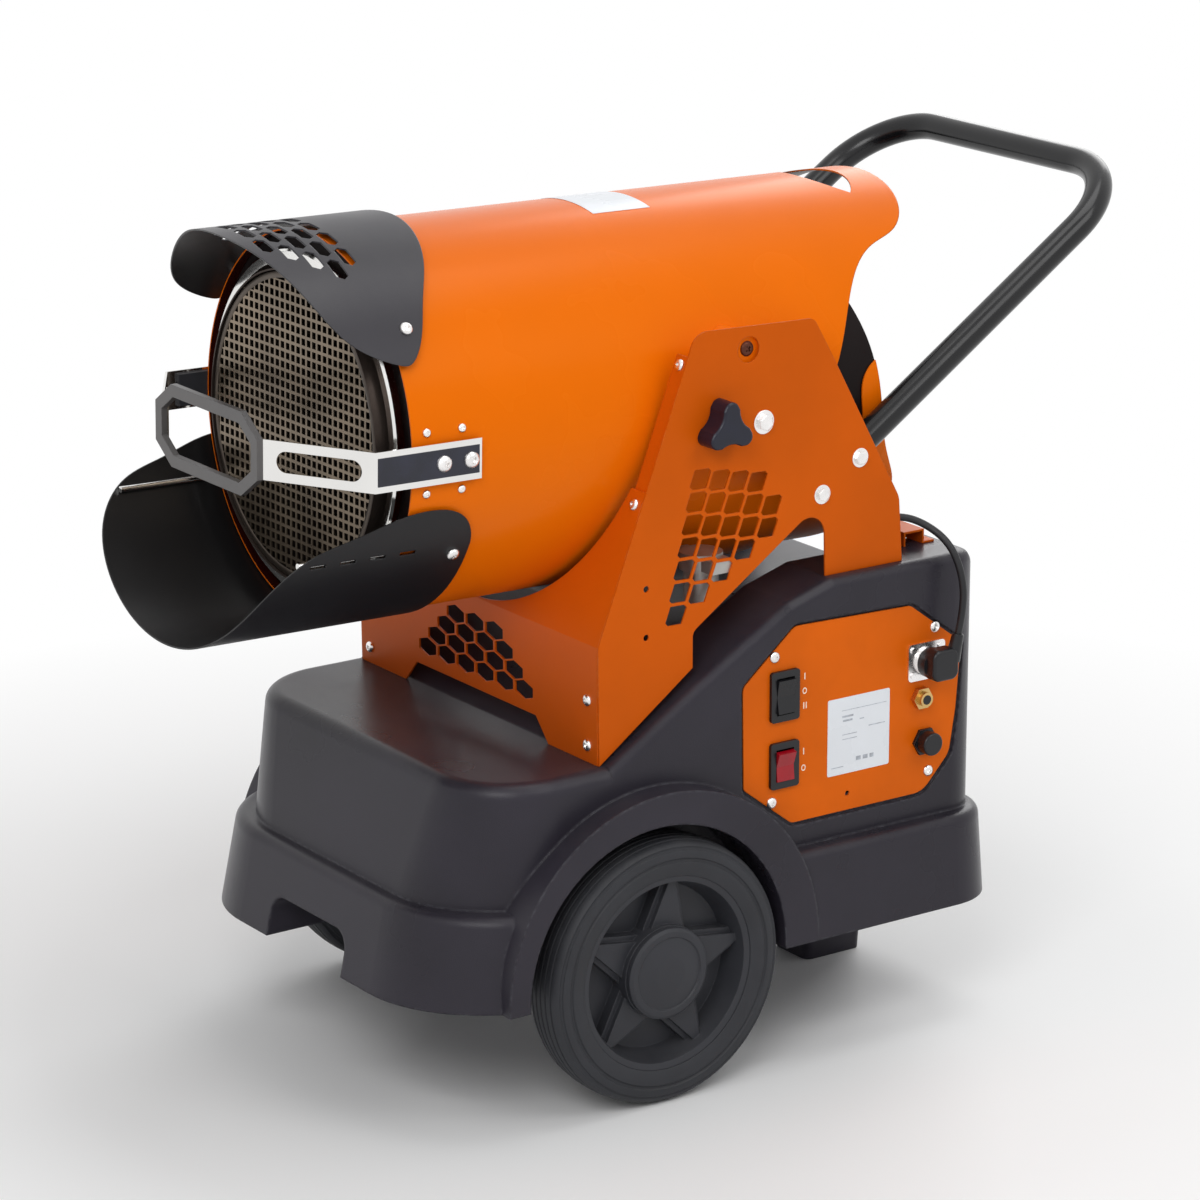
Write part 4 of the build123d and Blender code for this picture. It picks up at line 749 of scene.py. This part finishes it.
# spots are (behind, up) on a face that is named, or (across, behind, up)
caseScrew = {"radius": 0.0055, "height": 0.003, "frontAcross": 0.183, "frontUps": (0.378, 0.336),
             "rearBar": (0.148, 0.353, 0.457), "panelFace": 0.2115,
             "panel": ((0.137, 0.392), (0.323, 0.389), (0.135, 0.253), (0.318, 0.249)),
             # (across, up, how far proud of the leaning face)
             "leaning": ((0.188, 0.552, 0.002), (0.189, 0.672, 0))}
caseBolt = {"face": 0.2, "spots": ((0.198, 0.533), (0.241, 0.561)), "size": (0.009, 0.0045),
            "pivotSize": (0.011, 0.006)}
screwSize = (caseScrew["radius"], caseScrew["height"])
caseScrews = []
caseBolts = []
for side in (-1, 1):
    for up in caseScrew["frontUps"]:
        spot = fromAxle(side * caseScrew["frontAcross"], front["behind"] - front["sheet"], up)
        caseScrews.append((spot, frontAxis, *screwSize))
    across, behind, up = caseScrew["rearBar"]
    caseScrews.append((fromAxle(side * across, behind, up), upAxis, *screwSize))
    for across, up, proud in caseScrew["leaning"]:
        spot = fromAxle(side * across, frontAt(up) - proud / math.cos(front["lean"]), up)
        caseScrews.append((spot, leanAxis, *screwSize))
    for behind, up in caseBolt["spots"]:
        caseBolts.append((fromAxle(side * caseBolt["face"], behind, up), sideAxis * side,
                          *caseBolt["size"]))
    caseBolts.append((place["pivot"] + sideAxis * side * caseBolt["face"], sideAxis * side,
                      *caseBolt["pivotSize"]))
for behind, up in caseScrew["panel"]:
    caseScrews.append((fromAxle(caseScrew["panelFace"], behind, up), sideAxis, *screwSize))
headPiece("caseScrewHeads", "screw", caseScrews, "zincPlate", "base", "case_screws")
headPiece("caseBoltHeads", "bolt", caseBolts, "zincPlate", "base", "case_bolts")

# places on the barrel, from its pivot; sizes are (radius, height)
guardScrew = {"across": 0.1805, "behind": (-0.327, -0.299), "size": (0.0075, 0.005)}
rivet = {"shell": 0.175, "behind": (-0.34, -0.304), "up": 0.027, "lift": 0.0001,
         "size": (0.004, 0.0025)}
stud = {"spot": (0.195, -0.017, 0.068), "size": (0.007, 0.0025)}
# the deflectors' screws, as (behind, angle round the barrel, reach), and the spacers under them
deflectorScrew = {"lift": 0.0002, "size": (0.006, 0.004), "spots": (
    (-0.343, 38, 0.183), (-0.343, 142, 0.183), (-0.301, -30, 0.179), (-0.301, 210, 0.179))}
spacer = {"foot": 0.1755, "sheet": 0.0016, "radii": (0.0035, 0.005), "steps": 24}
barrelPoints = []
studPoints = []
spacers = []
for side in (-1, 1):
    across, behind, up = stud["spot"]
    studPoints.append((onBarrel(side * across, behind, up), sideAxis * side, *stud["size"]))
    for behind in guardScrew["behind"]:
        barrelPoints.append((onBarrel(side * guardScrew["across"], behind, 0), sideAxis * side,
                             *guardScrew["size"]))
    for behind in rivet["behind"]:
        for up in (-rivet["up"], rivet["up"]):
            across = side * math.sqrt(rivet["shell"] ** 2 - up ** 2)
            aim = (sideAxis * across + barrelUp * up).normalized()
            barrelPoints.append((onBarrel(across, behind, up) + aim * rivet["lift"], aim,
                                 *rivet["size"]))
for behind, angle, reach in deflectorScrew["spots"]:
    aim = sideAxis * math.cos(math.radians(angle)) + barrelUp * math.sin(math.radians(angle))
    centre = onBarrel(0, behind, 0)
    barrelPoints.append((centre + aim * (reach + deflectorScrew["lift"]), aim,
                         *deflectorScrew["size"]))
    foot, top, bore, wall = spacer["foot"], reach - spacer["sheet"], *spacer["radii"]
    spacers.append(lathe("spacer", [(foot, bore), (foot, wall), (top, wall), (top, bore)],
                         spacer["steps"], aim, barrelBack, centre))
headPiece("barrelScrewHeads", "screw", barrelPoints, "zincPlate", "barrel",
          "barrel_screws", spacers)
headPiece("darkScrewHeads", "screw", studPoints, "brownedSteel", "barrel",
          "barrel_screws")
for shape in headShapes.values():
    bpy.data.objects.remove(shape)
print("screws:", len(caseScrews), "case,", len(caseBolts), "bolts,", len(barrelPoints), "barrel")


# tyres with grooves round the tread

# the sidewall goes from the bead up, as (across, below the tread's radius)
tyre = {"inner": 0.1928, "outer": 0.2423, "radius": 0.125, "seat": 0.092, "bead": (0.003, 0.008),
        "grooves": (0.0105, 0.0178, 0.0248, 0.0318, 0.039), "grooveWidth": 0.0024,
        "grooveDepth": 0.0016, "grooveFloor": 0.6, "crown": 0.0012, "shoulder": 0.009,
        "steps": 120, "sidewall": (
            (0, 0.0195), (0.0013, 0.0185), (0.0013, 0.0165), (0, 0.0155), (0.0001, 0.012),
            (0.001, 0.0088), (0.0023, 0.0083), (0.0028, 0.0066), (0.0022, 0.005),
            (0.0042, 0.0031), (0.009, 0.0012))}


def treadRadius(across):
    # the tread is crowned, falling to the shoulders
    middle = (tyre["outer"] - tyre["inner"]) / 2
    fall = min(1.0, ((across - middle) / (middle - tyre["shoulder"])) ** 2)
    return tyre["radius"] - tyre["crown"] * fall


def tyreProfile():
    width = tyre["outer"] - tyre["inner"]
    inset, rise = tyre["bead"]
    side = [(inset, tyre["seat"]), (0, tyre["seat"] + rise)]
    side += [(across, tyre["radius"] - below) for across, below in tyre["sidewall"]]
    tread = []
    half = tyre["grooveWidth"] / 2
    for groove in tyre["grooves"]:
        floor = treadRadius(groove) - tyre["grooveDepth"]
        for step in (-half, -half * tyre["grooveFloor"], half * tyre["grooveFloor"], half):
            edge = abs(step) == half
            tread.append((groove + step, treadRadius(groove + step) if edge else floor))
    return side + tread + [(width - across, radius) for across, radius in reversed(side)]


for name, side in sides:
    mesh = lathe("tyreRibbed_" + name, tyreProfile(), tyre["steps"], sideAxis * side, upAxis,
                 Vector((side * tyre["inner"], place["axleY"], place["axleZ"])))
    newPiece("tyreRibbed_" + name, mesh, "tyreRubber", "wheel_" + name,
             ["tyre_" + name])
print("tyres made")


# marks beside the switches, faint lines on the label, and a black disc of painted shade for the
# port's bore

# bars and rings are (behind, up)
marks = {"face": 0.2115, "thickness": 0.0002, "line": 0.0011, "height": 0.0062, "narrow": 0.8,
         "steps": 24, "bars": ((0.172, 0.368), (0.1711, 0.34), (0.1739, 0.34), (0.1715, 0.296)),
         "rings": ((0.172, 0.354), (0.1715, 0.28))}
# lines without words, as (behind, up, width, height)
labelLines = {"face": 0.2119, "lines": (
    (0.241, 0.3265, 0.052, 0.0005), (0.222, 0.3205, 0.013, 0.0018),
    (0.222, 0.3165, 0.011, 0.0018), (0.2385, 0.3155, 0.005, 0.001),
    (0.256, 0.307, 0.019, 0.0008), (0.2245, 0.303, 0.017, 0.0006),
    (0.2245, 0.2985, 0.017, 0.0006), (0.235, 0.2775, 0.0055, 0.0038),
    (0.243, 0.2775, 0.0055, 0.0038), (0.2505, 0.2775, 0.0045, 0.0038),
    (0.2105, 0.2725, 0.014, 0.0006))}
portBore = {"face": 0.2225, "behind": 0.307, "up": 0.323, "radius": 0.0046, "steps": 32}


def barMark(bm, face, behind, up, wide, high):
    addBox(bm, (marks["thickness"], wide, high),
           fromAxle(face + marks["thickness"] / 2, behind, up))


def ringMark(bm, behind, up, radius):
    centre = fromAxle(marks["face"], behind, up)
    inner, high = radius - marks["line"], marks["thickness"]
    rings = []
    for i in range(marks["steps"]):
        turn = 2 * math.pi * i / marks["steps"]
        out = Vector((0, marks["narrow"] * math.cos(turn), math.sin(turn)))
        rings.append([bm.verts.new(centre + out * reach + sideAxis * depth)
                      for depth, reach in ((0, radius), (high, radius), (high, inner), (0, inner))])
    bridgeRings(bm, rings)


bm = bmesh.new()
for behind, up in marks["bars"]:
    barMark(bm, marks["face"], behind, up, marks["line"], marks["height"])
for behind, up in marks["rings"]:
    ringMark(bm, behind, up, marks["height"] / 2)
bmesh.ops.recalc_face_normals(bm, faces=bm.faces)
newPiece("switchMarks", meshFrom("switchMarks", bm), "markPaint", "base")
bm = bmesh.new()
for line in labelLines["lines"]:
    barMark(bm, labelLines["face"], *line)
newPiece("labelLines", meshFrom("labelLines", bm), "faintPrint", "base")
# painted shade: a flat black disc stands in for the port's hole
bm = bmesh.new()
boreShadePlace = Matrix.Translation(fromAxle(portBore["face"] + marks["thickness"] / 2,
                                        portBore["behind"], portBore["up"]))
bmesh.ops.create_cone(bm, cap_ends=True, segments=portBore["steps"], radius1=portBore["radius"],
                      radius2=portBore["radius"], depth=marks["thickness"],
                      matrix=boreShadePlace @ Matrix.Rotation(math.pi / 2, 4, "Y"))
newPiece("portBore", meshFrom("portBore", bm), "switchBlack", "base")
print("switch marks, label lines and bore made")


# perforated plates: the solids' sheets, with the thin webs of the real punching

# first is the top cell's (behind, up), step goes to the next in its row, row to the next row
sideLattice = {"first": (0.062, 0.568), "step": (0.0209, -0.004), "row": (-0.0044, -0.0203),
               "counts": (4, 5, 5, 4, 3, 2, 1), "across": 0.199, "corners": (
                   (-0.0062, 0.009), (0.009, 0.0086), (0.0119, 0.0054), (0.0062, -0.009),
                   (-0.009, -0.0086), (-0.0119, -0.0054))}
frontLattice = {"top": 0.4055, "pitch": 0.0324, "row": 0.0146, "counts": (3, 4, 5, 6),
                "corners": ((0, 0.0089), (0.0146, 0.0045), (0.0146, -0.0045), (0, -0.0089),
                            (-0.0146, -0.0045), (-0.0146, 0.0045))}
cellDepth = 0.004
weldDistance = 0.000002


def buildPunch():
    # cuts one cell at each place out of a sheet
    tree, source, sink = geometryTree("punchedSheet", [("Places", "Object"), ("Cell", "Object")])
    places, cell = (addNode(tree, "GeometryNodeObjectInfo", Object=source.outputs[label])
                    .outputs["Geometry"] for label in ("Places", "Cell"))
    points = addNode(tree, "GeometryNodeMeshToPoints", Mesh=places)
    cells = addNode(tree, "GeometryNodeInstanceOnPoints", Points=points.outputs[0], Instance=cell)
    real = addNode(tree, "GeometryNodeRealizeInstances", Geometry=cells.outputs[0])
    cut = addNode(tree, "GeometryNodeMeshBoolean", {"operation": "DIFFERENCE", "solver": "EXACT"},
                  Mesh_1=source.outputs["Geometry"], Mesh_2=real.outputs[0])
    finishTree(tree, source, sink, cut.outputs["Mesh"])
    return tree


def prism(name, corners, depthAxis):
    # closed cell, centred on the origin, with its corners given in the sheet's plane
    bm = bmesh.new()
    near, far = ([bm.verts.new(corner + depthAxis * reach) for corner in corners]
                 for reach in (-cellDepth, cellDepth))
    bm.faces.new(near)
    bm.faces.new(far[::-1])
    for i in range(len(corners)):
        j = (i + 1) % len(corners)
        bm.faces.new((near[i], near[j], far[j], far[i]))
    bmesh.ops.recalc_face_normals(bm, faces=bm.faces)
    return meshFrom(name, bm)


def mergedCopy(node):
    # a welded copy of a solid's mesh
    bm = bmesh.new()
    bm.from_mesh(nodes[node].data)
    bmesh.ops.remove_doubles(bm, verts=bm.verts, dist=weldDistance)
    return meshFrom(node + "Copy", bm)


punchTree = buildPunch()


def punchedPiece(name, node, spots, cellMesh):
    places = looseObject(name + "Places", pointMesh(name + "Places", spots))
    cell = looseObject(name + "Cell", cellMesh)
    mesh = runTree(name, punchTree, mergedCopy(node), {
        "Places": places, "Cell": cell, "Finish": materials["casePaint"]})
    for thing in (places, cell):
        bpy.data.objects.remove(thing)
    newPiece(name, mesh, "casePaint", "base", [node])
    print(name, "has", len(mesh.polygons), "faces")


for name, side in sides:
    spots = []
    for row, count in enumerate(sideLattice["counts"]):
        for column in range(count):
            behind, up = (first + row * down + column * along for first, down, along in zip(
                sideLattice["first"], sideLattice["row"], sideLattice["step"]))
            spots.append(fromAxle(side * sideLattice["across"], behind, up))
    corners = [Vector((0, behind, up)) for behind, up in sideLattice["corners"]]
    punchedPiece("punchedPlate_" + name, "side_plate_" + name, spots,
                 prism("sideCell", corners, sideAxis))
spots = []
for row, count in enumerate(frontLattice["counts"]):
    for column in range(count):
        spots.append(fromAxle((column - (count - 1) / 2) * frontLattice["pitch"],
                              front["behind"] - front["sheet"] / 2,
                              frontLattice["top"] - row * frontLattice["row"]))
corners = [Vector((across, 0, up)) for across, up in frontLattice["corners"]]
punchedPiece("punchedFront", "front_panel", spots, prism("frontCell", corners, -frontAxis))

# the handle tube, welded so that its gloss runs smoothly
handleMesh = rounded(mergedCopy("handle_tube"), angle=40)
newPiece("handleSmooth", handleMesh, "handleGloss", "base", ["handle_tube"])

# dark inlays on the guard's side strips
inlay = {"front": -0.3935, "rear": -0.2905, "height": 0.025, "under": 0.18052, "out": 0.1809}
barrelFrame = Matrix.Translation(place["pivot"]) @ Matrix(
    (sideAxis, barrelBack, barrelUp)).transposed().to_4x4()
for name, side in sides:
    bm = bmesh.new()
    addBox(bm, (inlay["out"] - inlay["under"], inlay["rear"] - inlay["front"], inlay["height"]),
           Vector((side * (inlay["out"] + inlay["under"]), inlay["rear"] + inlay["front"], 0)) / 2)
    mesh = meshFrom("guardInlay_" + name, bm)
    mesh.transform(barrelFrame)
    newPiece("guardInlay_" + name, mesh, "inlayBlack", "barrel")
print("plates punched, inlays laid")


# floor, light and background
studio = {"floorSize": 14.0, "floorUp": -0.0003, "floorColour": (0.93, 0.93, 0.93),
          "floorRoughness": 0.6, "fadeFrom": 0.55, "fadeTo": 1.35, "world": 0.42}


def rayMask(tree):
    # rays that may see the white background
    path = tree.nodes.new("ShaderNodeLightPath")
    seen = mathNode(tree, "MAXIMUM", path.outputs["Is Camera Ray"], path.outputs["Is Glossy Ray"])
    return mathNode(tree, "MAXIMUM", seen, path.outputs["Is Transmission Ray"])


def buildFloor():
    # pale near the object, to keep its shadow, and plain white further out
    material = bpy.data.materials.new("paleFloor")
    material.use_nodes = True
    tree = material.node_tree
    shader = tree.nodes["Principled BSDF"]
    shader.inputs["Roughness"].default_value = studio["floorRoughness"]
    shader.inputs["Base Color"].default_value = (*studio["floorColour"], 1)
    distance = vectorNode(tree, "LENGTH", objectCoords(tree))
    fade = rangeNode(tree, distance.outputs["Value"], studio["fadeFrom"], studio["fadeTo"])
    glow = addNode(tree, "ShaderNodeEmission", Strength=1.0)
    mix = tree.nodes.new("ShaderNodeMixShader")
    for index, value in enumerate((mathNode(tree, "MULTIPLY", fade, rayMask(tree)),
                                   shader.outputs[0], glow.outputs[0])):
        setInput(tree, mix.inputs[index], value)
    setInput(tree, tree.nodes["Material Output"].inputs["Surface"], mix.outputs[0])
    return material


half = studio["floorSize"] / 2
floorMesh = bpy.data.meshes.new("floor")
floorMesh.from_pydata([(x, y, studio["floorUp"]) for x, y in (
    (-half, -half), (half, -half), (half, half), (-half, half))], [], [(0, 1, 2, 3)])
floorMesh.materials.append(buildFloor())
looseObject("floor", floorMesh)

world = bpy.data.worlds.new("studio")
bpy.context.scene.world = world
world.use_nodes = True
background = world.node_tree.nodes["Background"]
background.inputs["Color"].default_value = (1, 1, 1, 1)
strength = rangeNode(world.node_tree, rayMask(world.node_tree), 0.0, 1.0, studio["world"], 1.0)
setInput(world.node_tree, background.inputs["Strength"], strength)

lamps = {
    "keySoftbox": dict(place=(2.2, -2.3, 2.7), aim=(0, 0, 0.4), size=1.7, power=46),
    "sideSoftbox": dict(place=(2.6, 1.0, 2.9), aim=(0, 0.1, 0.4), size=1.7, power=22),
    "topSoftbox": dict(place=(0.2, 0.6, 3.2), aim=(0, 0, 0.5), size=1.6, power=18),
    "backSoftbox": dict(place=(-1.6, 2.4, 1.8), aim=(0, 0, 0.5), size=1.6, power=18),
}
for name, lamp in lamps.items():
    light = bpy.data.lights.new(name, "AREA")
    light.shape = "SQUARE"
    light.size = lamp["size"]
    light.energy = lamp["power"]
    holder = looseObject(name, light)
    holder.location = lamp["place"]
    toAim = Vector(lamp["aim"]) - Vector(lamp["place"])
    holder.rotation_euler = toAim.to_track_quat("-Z", "Y").to_euler()
bpy.context.scene.view_settings.view_transform = "Standard"
print("studio set")
